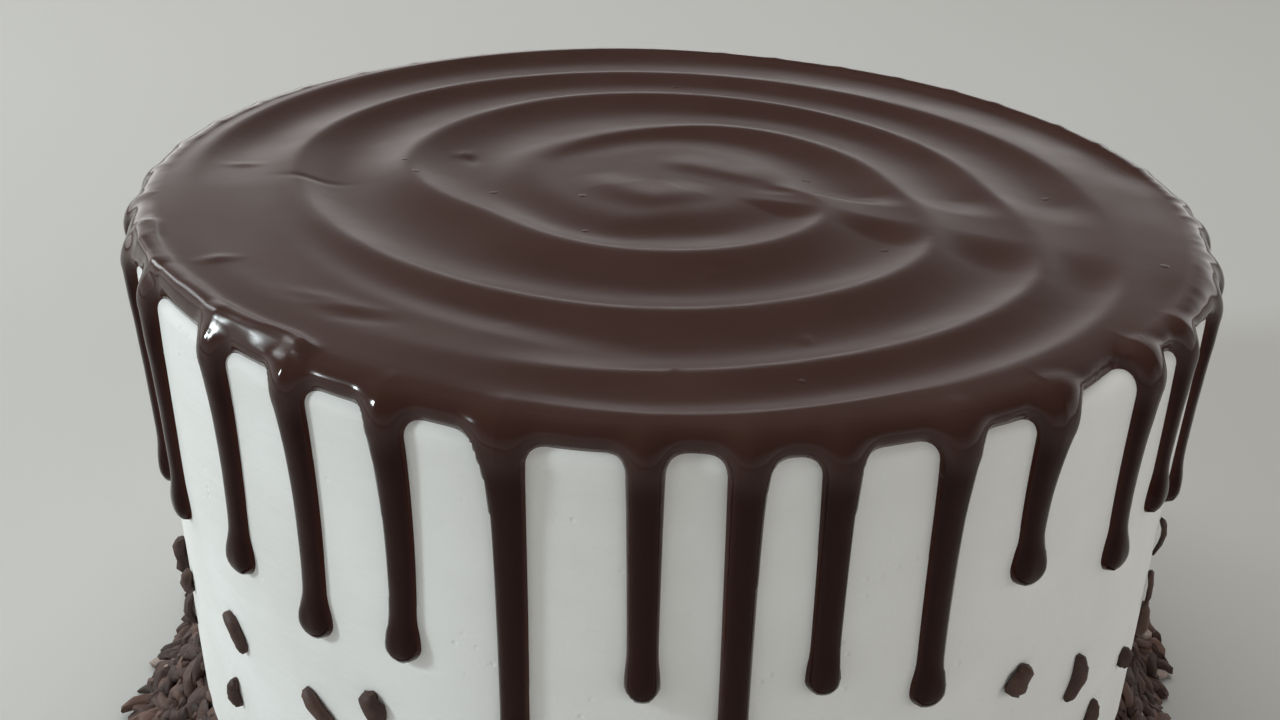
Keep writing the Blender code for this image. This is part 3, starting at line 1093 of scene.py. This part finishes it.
    def skin(self) -> Item:
        """Makes the frosting's skin in three zones, each with twice the steps of the one inside it.

        Returns:
            The skin as one mesh.
        """
        shape = self.shape
        inner_end, middle_end = self.inner_share * shape.radius, self.rim_share * shape.radius
        top = shape.height
        inner_radii = np.linspace(0.0, inner_end, self.inner_rows)
        middle_radii = np.linspace(inner_end, middle_end, self.middle_rows)
        zones = [
            ([(r, top) for r in inner_radii], self.inner_steps),
            ([(r, top) for r in middle_radii], 2 * self.inner_steps),
        ]
        start = shape.edge_start
        runs = np.concatenate(
            [
                np.linspace(start - (shape.radius - shape.edge - middle_end), start, self.edge_rows[0])[:-1],
                np.linspace(start, shape.edge, self.edge_rows[1])[:-1],
                np.arange(shape.edge, self.lowest, self.row),
            ]
        )
        radii, heights = shape.section(runs, np.zeros_like(runs))
        zones.append((list(zip(radii.tolist(), heights.tolist())), 4 * self.inner_steps))
        pieces = []
        for index, (outline, steps) in enumerate(zones):
            piece = turned_skin(f"skin_{index}", outline, steps)
            if index < 2:
                self.split_outer_loop(piece, outline[-1][0])
            pieces.append(piece)
        return joined("ganache_coat", pieces)

    def split_outer_loop(self, piece: Item, radius: float) -> None:
        """Halves the edges of the outermost loop, so that it meets the next zone vertex to vertex.

        Args:
            piece: The zone.
            radius: The loop's radius.
        """
        outer = polar(corners_of(piece))[0] > radius - 1e-6
        ends = read(piece.data.edges, "vertices", 2)
        with editing(piece, "DESELECT", vertices=outer, edges=outer[ends].all(axis=1)):
            bpy.ops.mesh.subdivide(number_cuts=1)

    def drip_distance(self, drip: Drip, around: Array, depth: Array) -> Array:
        """Distance to the edge of one drip, negative inside it.

        Args:
            drip: The drip.
            around: Azimuths counted from it.
            depth: Runs along the skin.

        Returns:
            The distances in metres.
        """
        middle = drip.sway * np.sin(math.pi * np.clip(depth / drip.length, 0.0, 1.0))
        across = around * self.shape.radius - middle
        in_front = smooth_step(np.abs(np.degrees(drip.azimuth)), *self.slimmer_within)
        bulb = self.bulb - self.slimmer * in_front
        full = drip.length - self.bulb_long * bulb
        neck = smooth_step(depth, full - self.neck, full)
        upper, lower = self.shaft
        slim = upper + (lower - upper) * smooth_step(depth, self.shaft_ends[0], full - self.shaft_ends[1])
        half = slim + (bulb - slim) * neck
        spread = np.exp(-np.maximum(depth, 0.0) / self.shoulder)
        half = half + np.where(across < 0.0, drip.left, drip.right) * spread
        beside = np.hypot(across, self.soft_middle) - half
        below = np.hypot(across, (depth - full) / self.bulb_long) - bulb
        return np.where(depth > full, below, beside)

    def edge_distance(self, azimuth: Array, run: Array) -> Array:
        """Distance to the ganache's edge along the frosting, negative inside the ganache.

        Args:
            azimuth: Azimuths in radians.
            run: Runs along the skin.

        Returns:
            The distances in metres.
        """
        degrees = (np.degrees(azimuth) + 180.0) % 360.0 - 180.0
        level, swing = self.back_rim
        back = level + swing * waves(azimuth, np.zeros_like(run), 6, 21)
        places, reaches = eased_table(self.rims, *self.rim_easing)
        reach = np.interp(degrees, places, reaches)
        share = smooth_step(np.abs(degrees), *self.back_from)
        distance = run - (reach * (1.0 - share) + back * share)
        for drip in self.plan.drips:
            around = apart(azimuth, drip.azimuth)
            near = np.abs(around) < self.drip_half_turn
            own = self.drip_distance(drip, around[near], run[near])
            distance[near] = soft_least(distance[near], own, self.fillet)
        return distance

    def on_skin(self, item: Item) -> tuple[Array, Array]:
        """Reads the bare skin.

        Args:
            item: The skin, not yet thickened.

        Returns:
            Azimuth and run of every vertex.
        """
        places = corners_of(item)
        radius, azimuth = polar(places)
        return azimuth, self.shape.run_of(radius, places[:, 2])

    def clear_bare(self, item: Item) -> None:
        """Deletes the faces of the skin that no ganache covers.

        Args:
            item: The skin.
        """
        azimuth, run = self.on_skin(item)
        sizes = read(item.data.polygons, "loop_total")
        loops = read(item.data.loops, "vertex_index")
        owner = np.repeat(np.arange(len(sizes)), sizes)
        centre_run = np.bincount(owner, run[loops]) / sizes
        centre_x = np.bincount(owner, np.sin(azimuth)[loops]) / sizes
        centre_y = np.bincount(owner, np.cos(azimuth)[loops]) / sizes
        bare = self.edge_distance(np.arctan2(centre_x, centre_y), centre_run) > 0.0
        with editing(item, "DESELECT", "FACE", polygons=bare):
            bpy.ops.mesh.delete(type="FACE")

    def open_edge(self, item: Item) -> Array:
        """Finds the vertices on the open edge of the skin.

        Args:
            item: The skin.

        Returns:
            A mask of its vertices.
        """
        uses = np.bincount(read(item.data.loops, "edge_index"), minlength=len(item.data.edges))
        result = np.zeros(len(item.data.vertices), dtype=bool)
        result[read(item.data.edges, "vertices", 2)[uses == 1].reshape(-1)] = True
        return result

    def draw_to_edge(
        self, azimuth: Array, run: Array, which: Array, level: float
    ) -> tuple[Array, Array]:
        """Slides vertices along the skin to a set distance from the ganache's true edge.

        Args:
            azimuth: Azimuths of all vertices.
            run: Their runs.
            which: Which of them slide.
            level: The distance to reach, 0 on the edge and negative inside it.

        Returns:
            The new azimuths and runs.
        """
        azimuth, run = azimuth.copy(), run.copy()
        step, far, reach = self.probe, self.furthest_slide, self.shape.radius
        for _ in range(5):
            a, r = azimuth[which], run[which]
            here = self.edge_distance(a, r) - level
            turn = step / reach
            slope_a = (self.edge_distance(a + turn, r) - self.edge_distance(a - turn, r)) / (2 * step)
            slope_r = (self.edge_distance(a, r + step) - self.edge_distance(a, r - step)) / (2 * step)
            steep = np.maximum(slope_a**2 + slope_r**2, 0.2)
            azimuth[which] = a - np.clip(here * slope_a / steep, -far, far) / reach
            run[which] = r - np.clip(here * slope_r / steep, -far, far)
        return azimuth, run

    def lift(self, azimuth: Array, run: Array) -> Array:
        """How far the ganache stands off the frosting.

        Args:
            azimuth: Azimuths in radians.
            run: Runs along the skin.

        Returns:
            The thickness at each place, in metres.
        """
        shape = self.shape
        depth = -self.edge_distance(azimuth, run)
        places, values = eased_table(self.thickness, *self.thickness_easing)
        full = np.interp(run, places, values)
        for drip in self.plan.drips:
            around = apart(azimuth, drip.azimuth)
            near = (np.abs(around) < self.bulb_half_turn) & (run > self.bulb_below)
            off = (run[near] - drip.length + self.bulb_up) / self.bulb_reach
            full[near] += self.bulb_out * np.exp(-0.5 * off**2)
        inside = np.maximum(depth, 0.0)
        rolled = np.sqrt(1.0 - np.exp(-self.rim_roll * inside / self.rim_width))
        bead = np.sqrt(1.0 - (1.0 - np.minimum(inside / self.shaft[1], 1.0)) ** 2)
        round_off = rolled + (bead - rolled) * smooth_step(run, *self.bead_from)
        share = np.clip((shape.radius - shape.edge + run - shape.edge_start) / shape.radius, 0.0, None)
        top = smooth_step(run, *self.swirl_from)
        lift = (full - self.swirl.drop(azimuth, np.minimum(share, 1.0)) * top) * round_off
        x, y = share * np.sin(azimuth), -share * np.cos(azimuth)
        on_top = run < self.marks_end
        for mark_x, mark_y, way, length, width, height in self.marks:
            along_x, along_y = math.cos(math.radians(way)), math.sin(math.radians(way))
            off_x = x - mark_x / self.swirl.scale
            off_y = y - (mark_y - self.swirl.shift) / self.swirl.scale
            along = (off_x * along_x + off_y * along_y) * shape.radius / length
            beside = (off_y * along_x - off_x * along_y) * shape.radius / width
            lift += height * np.exp(-0.5 * (along**2 + beside**2)) * on_top
        for ridge in (self.lip, self.fold, self.crescent):
            lift += ridge.height_at(x, y, shape.radius) * smooth_step(depth, 0.0, 0.002) * on_top
        return lift - self.sink * smooth_step(depth, 0.0006, 0.0)

    def close_below(self, item: Item) -> None:
        """Draws the open edge in to one point inside the cake, which closes the skin unseen.

        Args:
            item: The thickened skin.
        """
        with editing(item, "DESELECT", "EDGE"):
            bpy.ops.mesh.select_non_manifold()
            bpy.ops.mesh.extrude_edges_move()
            bpy.ops.mesh.merge(type="CENTER")

    def build(self) -> Item:
        """Makes the skin, clears what is bare, draws the rest to its edge and thickens it.

        Returns:
            The piece, with what its finish reads: the film's thickness, how wet it is, and how far down it
                is, which turns its colour from the top's painted sheen to the drips' painted shade.
        """
        coat = self.skin()
        self.clear_bare(coat)
        azimuth, run = self.on_skin(coat)
        rim = self.open_edge(coat)
        azimuth, run = self.draw_to_edge(azimuth, run, rim, 0.0)
        crowded = ~rim & (self.edge_distance(azimuth, run) > -self.first_row)
        azimuth, run = self.draw_to_edge(azimuth, run, crowded, -self.first_row)
        lift = self.lift(azimuth, run)
        moved = self.shape.place(azimuth, run, lift)
        moved[:, 2] = np.minimum(moved[:, 2], CAD_BOX[1][2])
        move_corners(coat, moved)
        store_values(coat, "film", np.maximum(lift, 0.0))
        front = smooth_step(np.abs(azimuth), *self.wet_in_front)
        store_values(coat, "wet", smooth_step(run - self.wet_further * front, *self.wet_from))
        # side: painted shade down the side and drips against painted sheen on top; it also weakens their
        # reflection.
        store_values(coat, "side", smooth_step(run, *self.side_from))
        self.close_below(coat)
        face_outwards(coat)
        coat.data.shade_smooth()
        return coat


class ShavingKind(Enum):
    """The kinds of shaving, with the sides and rings of each, its bend, its flatness and how rough it is."""

    STICK = ("sticks", 7, 5, 0.16, 0.85, 0.08)
    CURL = ("curls", 7, 5, 0.50, 0.65, 0.08)
    FLAKE = ("flakes", 7, 4, 0.25, 0.35, 0.12)
    CHUNK = ("chunks", 6, 3, 0.05, 0.95, 0.16)

    @property
    def label(self) -> str:
        """The word for the kind in the piece's name."""
        return self.value[0]


@dataclass
class ShavingModel:
    """One shaving of a kind, modelled at unit size: length along X, width along Y, thickness along Z."""

    kind: ShavingKind
    seed: int
    detail: int = 1
    slants: tuple = (-0.1, 0.1)
    tapers: tuple = (-0.30, 0.30)
    narrowing: float = 0.80
    bluntness: float = 5.0
    sideways: float = 3.2
    ripple: float = 0.10

    def build(self) -> tuple[Array, list[tuple[int, ...]]]:
        """Models the shaving from a slim prism, reads it and removes its object.

        Returns:
            Its vertices and its faces.
        """
        _, sides, rings, bend, flat, rough = self.kind.value
        sides, rings = sides + 2 * (self.detail - 1), rings * self.detail
        rng = random.Random(self.seed)
        deselect_all()
        bpy.ops.mesh.primitive_cylinder_add(
            vertices=sides, radius=0.5, depth=1.0, end_fill_type="NGON", rotation=(0.0, TURN / 4, 0.0)
        )
        item = bpy.context.object
        bpy.ops.object.transform_apply(location=False, rotation=True, scale=False)
        with editing(item, "SELECT"):
            for index in range(1, rings + 1):
                bpy.ops.mesh.select_all(action="SELECT")
                slant = (1.0, rng.uniform(*self.slants), rng.uniform(*self.slants))
                cut = 0.5 * math.sin(math.pi / 2 * (2 * index / (rings + 1) - 1))
                bpy.ops.mesh.bisect(plane_co=(cut, 0.0, 0.0), plane_no=slant)
        places = corners_of(item)
        along = np.clip(places[:, 0] * 2.0, -1.0, 1.0)
        fullness = np.sqrt(np.clip(1.0 - self.narrowing * np.abs(along) ** self.bluntness, 0.05, 1.0))
        taper = 1.0 + rng.uniform(*self.tapers) * along
        places[:, 1] *= fullness * taper
        places[:, 2] *= flat * fullness * taper
        places[:, 2] += bend * (1.0 - along**2) - 0.5 * bend
        places[:, 1] += rng.uniform(-1.0, 1.0) * self.sideways * min(bend, 0.3) * (along**2 - 0.4)
        if self.kind is ShavingKind.FLAKE:
            places[:, 2] += self.ripple * np.sin(3.0 * along + rng.uniform(0.0, TURN)) * (0.5 + places[:, 1])
        noise = np.array([[rng.uniform(-rough, rough) for _ in range(3)] for _ in places])
        places += noise * (0.30 / self.detail, 0.8, 0.8 * max(flat, 0.5))
        move_corners(item, places)
        faces = [tuple(face.vertices) for face in item.data.polygons]
        bpy.data.objects.remove(item)
        return places, faces


@dataclass
class ShavingPile:
    """Shavings that are laid one by one and joined into one piece."""

    kinds: tuple
    detail: int = 1
    variants: int = 5
    models: dict = field(default_factory=dict)
    places: list = field(default_factory=list)
    faces: list = field(default_factory=list)
    tones: list = field(default_factory=list)
    count: int = 0
    length: int = 0

    def __post_init__(self) -> None:
        """Models each kind in a few variants."""
        for kind in self.kinds:
            first = 100 * (1 + list(ShavingKind).index(kind))
            seeds = range(first, first + self.variants)
            self.models[kind] = [ShavingModel(kind, seed, self.detail).build() for seed in seeds]

    def lay(self, kind: ShavingKind, frame_: Matrix, size: tuple[float, float, float], tone: float) -> None:
        """Adds one shaving.

        Args:
            kind: What it is.
            frame_: Its frame, X along it and Z out of the heap.
            size: Its length, width and thickness.
            tone: Its own tone, from 0 for dark to 1 for pale.
        """
        places, faces = self.models[kind][self.count % self.variants]
        turn = np.array(frame_.to_3x3())
        moved = (places * size) @ turn.T + np.array(frame_.translation)
        self.places.append(moved)
        self.faces.extend(tuple(index + self.length for index in face) for face in faces)
        self.tones.append(np.full(len(places), tone))
        self.length += len(places)
        self.count += 1

    def piece(self, name: str) -> Item:
        """Joins all that was laid into one mesh.

        Args:
            name: The piece's name.

        Returns:
            The piece.
        """
        mesh = bpy.data.meshes.new(name)
        mesh.from_pydata(np.concatenate(self.places).tolist(), [], self.faces)
        item = bpy.data.objects.new(name, mesh)
        bpy.context.scene.collection.objects.link(item)
        face_outwards(item)
        store_values(item, "tone", np.concatenate(self.tones))
        activate(item)
        bpy.ops.object.shade_smooth_by_angle(angle=math.radians(55))
        return item


def side_frame(azimuth: float, radius: float, height: float, turn: float, slope: float = 0.0) -> Matrix:
    """A frame on the side: Z points out, X points up until it is turned, and a slope leans Z upwards.

    Args:
        azimuth: Azimuth in radians.
        radius: Distance from the axis.
        height: Height above the base.
        turn: Turn about Z in radians.
        slope: Lean in radians.

    Returns:
        The frame.
    """
    out = Vector((math.sin(azimuth), -math.cos(azimuth), 0.0))
    along = Vector((math.cos(azimuth), math.sin(azimuth), 0.0))
    base = Matrix((Vector((0.0, 0.0, 1.0)), -along, out)).transposed().to_4x4()
    lean = Matrix.Rotation(-slope, 4, along)
    spin = Matrix.Rotation(turn, 4, out)
    return Matrix.Translation(out * radius + Vector((0.0, 0.0, height))) @ lean @ spin @ base


@dataclass
class Heap:
    """The ring of shavings banked up the side: a lumpy core, and layers of real shavings over it."""

    shape: CakeShape
    outer: float = 0.0140
    height: float = 0.0175
    foot: float = 0.0012
    bank: float = 2.4
    lump: float = 0.0030
    lumps_round: int = 13
    lump_start: float = -0.68
    lump_height: float = 0.10
    shrink: float = 0.0006
    core_points: int = 14
    core_steps: int = 320
    core_inside: float = 0.002
    sunk: float = 0.0004
    fine_lump: float = 0.0004
    # The core's tone: near the darkest shaving, painted shade for the depths of the heap.
    core_painted_shade_tone: float = 0.05
    pieces: int = 2300
    out_to: float = 0.95
    lowest: float = 0.0012
    lengths: tuple = (0.0060, 0.0112)
    widths: tuple = (0.0023, 0.0038)
    chunk_lengths: tuple = (0.0035, 0.0060)
    chunk_widths: tuple = (0.0028, 0.0042)
    flake_widths: tuple = (0.0032, 0.0048)
    lifts: tuple = (-0.0004, 0.0014)
    tilts: tuple = (-0.35, 0.35)
    probe: float = 0.0010
    weights: tuple = (6, 4, 1, 3)
    tones: tuple = (0.36, 0.26)
    palest: float = 0.85
    dusty_share: float = 0.03
    seed: int = 31

    def height_at(self, out: float) -> float:
        """The height of the heap at a distance out from the frosting."""
        return self.foot + (self.height - self.foot) * max(1.0 - out / self.outer, 0.0) ** self.bank

    def core(self) -> Item:
        """Builds the inside of the heap, which shows only as darkness between the shavings: it has the
        darkest tone, as painted shade.

        Returns:
            The piece.
        """
        skin = self.shape.radius
        outline = [(skin - self.core_inside, self.height_at(0.0))]
        for index in range(self.core_points):
            out = (self.outer - self.shrink) * index / (self.core_points - 1)
            outline.append((skin + out, self.height_at(out) - self.shrink))
        outline += [(skin + self.outer - self.shrink, 0.0), (skin - self.core_inside, 0.0)]
        outline.append(outline[0])
        item = turned_skin("shavings_core", outline, self.core_steps)
        places = corners_of(item)
        radius, azimuth = polar(places)
        out = radius - skin
        wave = np.sin(self.lumps_round * azimuth + self.lump_start)
        fine = waves(azimuth * 9.0, places[:, 2] * 4.0, 8, 77)
        lumps = self.lump * wave + self.fine_lump * fine
        reach = skin + out + np.maximum(out, 0.0) / self.outer * lumps
        places[:, 0], places[:, 1] = reach * np.sin(azimuth), -reach * np.cos(azimuth)
        places[:, 2] *= 1.0 + self.lump_height * wave * (out > 0)
        move_corners(item, places)
        face_outwards(item)
        # The core is painted dark as the shade deep in the heap.
        store_values(item, "tone", np.full(len(places), self.core_painted_shade_tone))
        item.data.shade_smooth()
        return item

    def fill(self, piles: dict[ShavingKind, ShavingPile]) -> None:
        """Lays the shavings over the core.

        Args:
            piles: The pile of each kind.
        """
        rng = random.Random(self.seed)
        kinds = list(ShavingKind)
        for index in range(self.pieces):
            azimuth = math.radians(index * GOLDEN_ANGLE)
            share = self.out_to * rng.random()
            kind = rng.choices(kinds, weights=self.weights)[0]
            length = rng.uniform(*self.lengths)
            width = rng.uniform(*self.widths)
            if kind is ShavingKind.CHUNK:
                length, width = rng.uniform(*self.chunk_lengths), rng.uniform(*self.chunk_widths)
            if kind is ShavingKind.FLAKE:
                width = rng.uniform(*self.flake_widths)
            out = self.outer * share
            wave = math.sin(self.lumps_round * azimuth + self.lump_start)
            height = self.height_at(out) * (1.0 + self.lump_height * wave)
            step = self.probe
            fall = math.atan2(self.height_at(out - step) - self.height_at(out + step), 2 * step)
            lift = rng.uniform(*self.lifts)
            reach = self.shape.radius + out + self.lump * wave * share + lift * math.sin(fall)
            level = height + lift * math.cos(fall)
            tilt = TURN / 4 - fall + rng.uniform(*self.tilts)
            frame_ = side_frame(azimuth, reach, max(level, self.lowest), rng.uniform(0.0, TURN), tilt)
            tone = min(max(rng.gauss(*self.tones), 0.0), self.palest)
            if rng.random() < self.dusty_share:
                tone = 1.0
            piles[kind].lay(kind, frame_, (length, width, width), tone)

    def trim(self, item: Item) -> None:
        """Presses back what would reach into the floor, into the frosting or past the solid's own box.

        Args:
            item: The shavings of one kind.
        """
        places = corners_of(item)
        places[:, 2] = np.maximum(places[:, 2], CLEARANCE)
        least = self.shape.radius - self.sunk
        places[:, :2] *= np.maximum(least / np.maximum(polar(places)[0], 1e-6), 1.0)[:, None]
        low, high = CAD_BOX
        for axis in (0, 1):
            places[:, axis] = np.clip(places[:, axis], low[axis], high[axis])
        move_corners(item, places)

    def build(self) -> list[Item]:
        """Builds the core and one piece for each kind of shaving.

        Returns:
            The pieces.
        """
        piles = {kind: ShavingPile((kind,)) for kind in ShavingKind}
        self.fill(piles)
        made = [self.core()]
        for kind, pile in piles.items():
            item = pile.piece(f"shavings_{kind.label}")
            self.trim(item)
            LOG.info("%s: %d laid", item.name, pile.count)
            made.append(item)
        return made


@dataclass
class StuckShavings:
    """Single shavings stuck to the frosting above the heap."""

    shape: CakeShape
    plan: CakePlan
    out: float = 0.0007
    thick: float = 0.0030
    tones: tuple = (0.25, 0.70)
    seed: int = 7

    def build(self) -> Item:
        """Lays each shaving on the side and joins them.

        Returns:
            The piece.
        """
        rng = random.Random(self.seed)
        pile = ShavingPile(tuple(ShavingKind), detail=2)
        for degrees, height, turn, length, width, kind in self.plan.stuck:
            azimuth = math.radians(degrees)
            frame_ = side_frame(azimuth, self.shape.radius + self.out, height, math.radians(turn))
            centre = frame_.translation
            fall = self.shape.fall_right * centre.x + self.shape.fall_back * centre.y
            frame_.translation.z -= height / self.shape.height * fall
            pile.lay(ShavingKind[kind], frame_, (length, width, self.thick), rng.uniform(*self.tones))
        return pile.piece("shavings_on_the_side")


@dataclass(frozen=True)
class Lamp:
    """A soft rectangular lamp that faces the cake, in metres and watts; gloss mirrors it or not."""

    name: str
    place: tuple
    size: tuple
    power: float
    colour: tuple
    mirrored: bool
    aim: tuple = (0.0, 0.0, 0.08)

    def hang(self) -> None:
        """Adds the lamp."""
        deselect_all()
        bpy.ops.object.light_add(type="AREA", location=self.place)
        item = bpy.context.object
        item.name = self.name
        item.data.shape = "RECTANGLE"
        item.data.size, item.data.size_y = self.size
        item.data.energy = self.power
        item.data.color = self.colour
        item.visible_glossy = self.mirrored
        way = Vector(self.aim) - Vector(self.place)
        item.rotation_euler = way.to_track_quat("-Z", "Y").to_euler()


@dataclass
class Studio:
    """Floor, camera and light: windows and a bright wall on the left, and lamps that no gloss mirrors."""

    shape: CakeShape
    focal_px: float = 1357.06
    pitch: float = 0.480534
    roll: float = 0.0131913
    yaw: float = -0.0232639
    distance: float = 2.51338
    above: float = 0.930606
    wall_light: float = 1.05
    ceiling_light: float = 0.05
    horizon: tuple = (0.05, 0.45)
    walls: tuple = (("X", 1.22, 1.15), ("Y", 0.38, 1.20))
    floor_size: float = 14.0
    floor_steps: int = 24
    bank: tuple = (5.0, 7.0)
    bank_height: float = 0.02
    lamps: tuple = (
        Lamp("window", (-1.30, -0.35, 0.75), (0.17, 0.21), 10.0, (0.88, 0.98, 1.0), True),
        Lamp("second_window", (-1.20, 0.65, 0.85), (0.40, 0.30), 3.5, (0.92, 0.98, 1.0), True),
        Lamp("bright_wall", (-1.30, 1.90, 0.62), (1.5, 0.8), 1.8, (1.0, 0.995, 0.98), True),
        Lamp("ceiling", (-0.15, 0.80, 2.1), (2.4, 2.4), 36.0, (1.0, 0.99, 0.96), False),
        Lamp("fill", (2.6, -1.9, 1.1), (3.6, 2.2), 30.0, (1.0, 0.965, 0.92), False),
        Lamp("left_fill", (-2.4, -1.6, 0.6), (1.6, 1.2), 7.0, (0.97, 1.0, 1.0), False),
    )

    def floor(self) -> None:
        """Builds a wide floor whose far edge rises into a low bank."""
        deselect_all()
        steps = self.floor_steps
        bpy.ops.mesh.primitive_grid_add(x_subdivisions=steps, y_subdivisions=steps, size=self.floor_size)
        item = bpy.context.object
        item.name = "floor"
        places = corners_of(item)
        places[:, 2] = self.bank_height * smooth_step(polar(places)[0], *self.bank)
        move_corners(item, places)
        item.data.shade_smooth()
        item.data.materials.append(FloorFinish("pale_floor").material())

    def room(self) -> None:
        """A dim room whose walls are bright near the horizon, more so on the left and behind the cake."""
        world = bpy.data.worlds.new("room")
        world.use_nodes = True
        nodes = NodeWriter(world.node_tree)
        sky = world.node_tree.nodes["Background"]
        sky.inputs["Color"].default_value = (1.0, 0.99, 0.98, 1.0)
        way = nodes.add("ShaderNodeTexCoord").outputs["Generated"]
        parts = nodes.add("ShaderNodeSeparateXYZ")
        nodes.link(way, parts.inputs[0])
        strength = nodes.graded(parts.outputs["Z"], *self.horizon, self.wall_light, self.ceiling_light)
        for axis, low, high in self.walls:
            strength = nodes.product(strength, nodes.graded(parts.outputs[axis], -1.0, 1.0, low, high))
        nodes.link(strength, sky.inputs["Strength"])
        bpy.context.scene.world = world

    def camera(self) -> None:
        """The camera at the picture's viewing angle."""
        yaw, pitch, roll = self.yaw, self.pitch, self.roll
        ahead = Vector((math.sin(yaw) * math.cos(pitch), math.cos(yaw) * math.cos(pitch), -math.sin(pitch)))
        right = Vector((math.cos(yaw), -math.sin(yaw), 0.0))
        up = right.cross(ahead)
        rolled = math.cos(roll) * right + math.sin(roll) * up
        upper = -math.sin(roll) * right + math.cos(roll) * up
        deselect_all()
        bpy.ops.object.camera_add()
        item = bpy.context.object
        item.name = "camera"
        scale = self.shape.radius
        place = Matrix.Translation((0.0, -self.distance * scale, self.shape.height + self.above * scale))
        item.matrix_world = place @ Matrix((rolled, upper, -ahead)).transposed().to_4x4()
        item.data.sensor_width = 36.0
        item.data.lens = self.focal_px / 1280.0 * 36.0
        item.data.clip_start = 0.01
        bpy.context.scene.camera = item

    def build(self) -> None:
        """Sets up floor, light, camera and plain colours."""
        self.floor()
        for lamp in self.lamps:
            lamp.hang()
        self.room()
        self.camera()
        bpy.context.scene.view_settings.view_transform = "Standard"


def main() -> None:
    """Builds the cake piece by piece and lights it, logging each piece's triangles."""
    logging.basicConfig(level=logging.INFO, format="%(name)s %(message)s")
    shape, plan = CakeShape(), CakePlan()
    shaved = ShavedFinish("shaved_chocolate_finish").material()
    body = FrostedBody(shape).build()
    hand_over(body, FrostingFinish("white_frosting_finish").material(), "white_frosting", "frosted_cake")
    coat = Ganache(shape, plan).build()
    hand_over(coat, GanacheFinish("dark_ganache_finish").material(), "dark_ganache", "ganache")
    stuck = StuckShavings(shape, plan).build()
    hand_over(stuck, shaved, "shaved_chocolate", "frosted_cake")
    for item in Heap(shape).build():
        hand_over(item, shaved, "shaved_chocolate", "chocolate_shavings")
    Studio(shape).build()


if __name__ == "__main__":
    main()
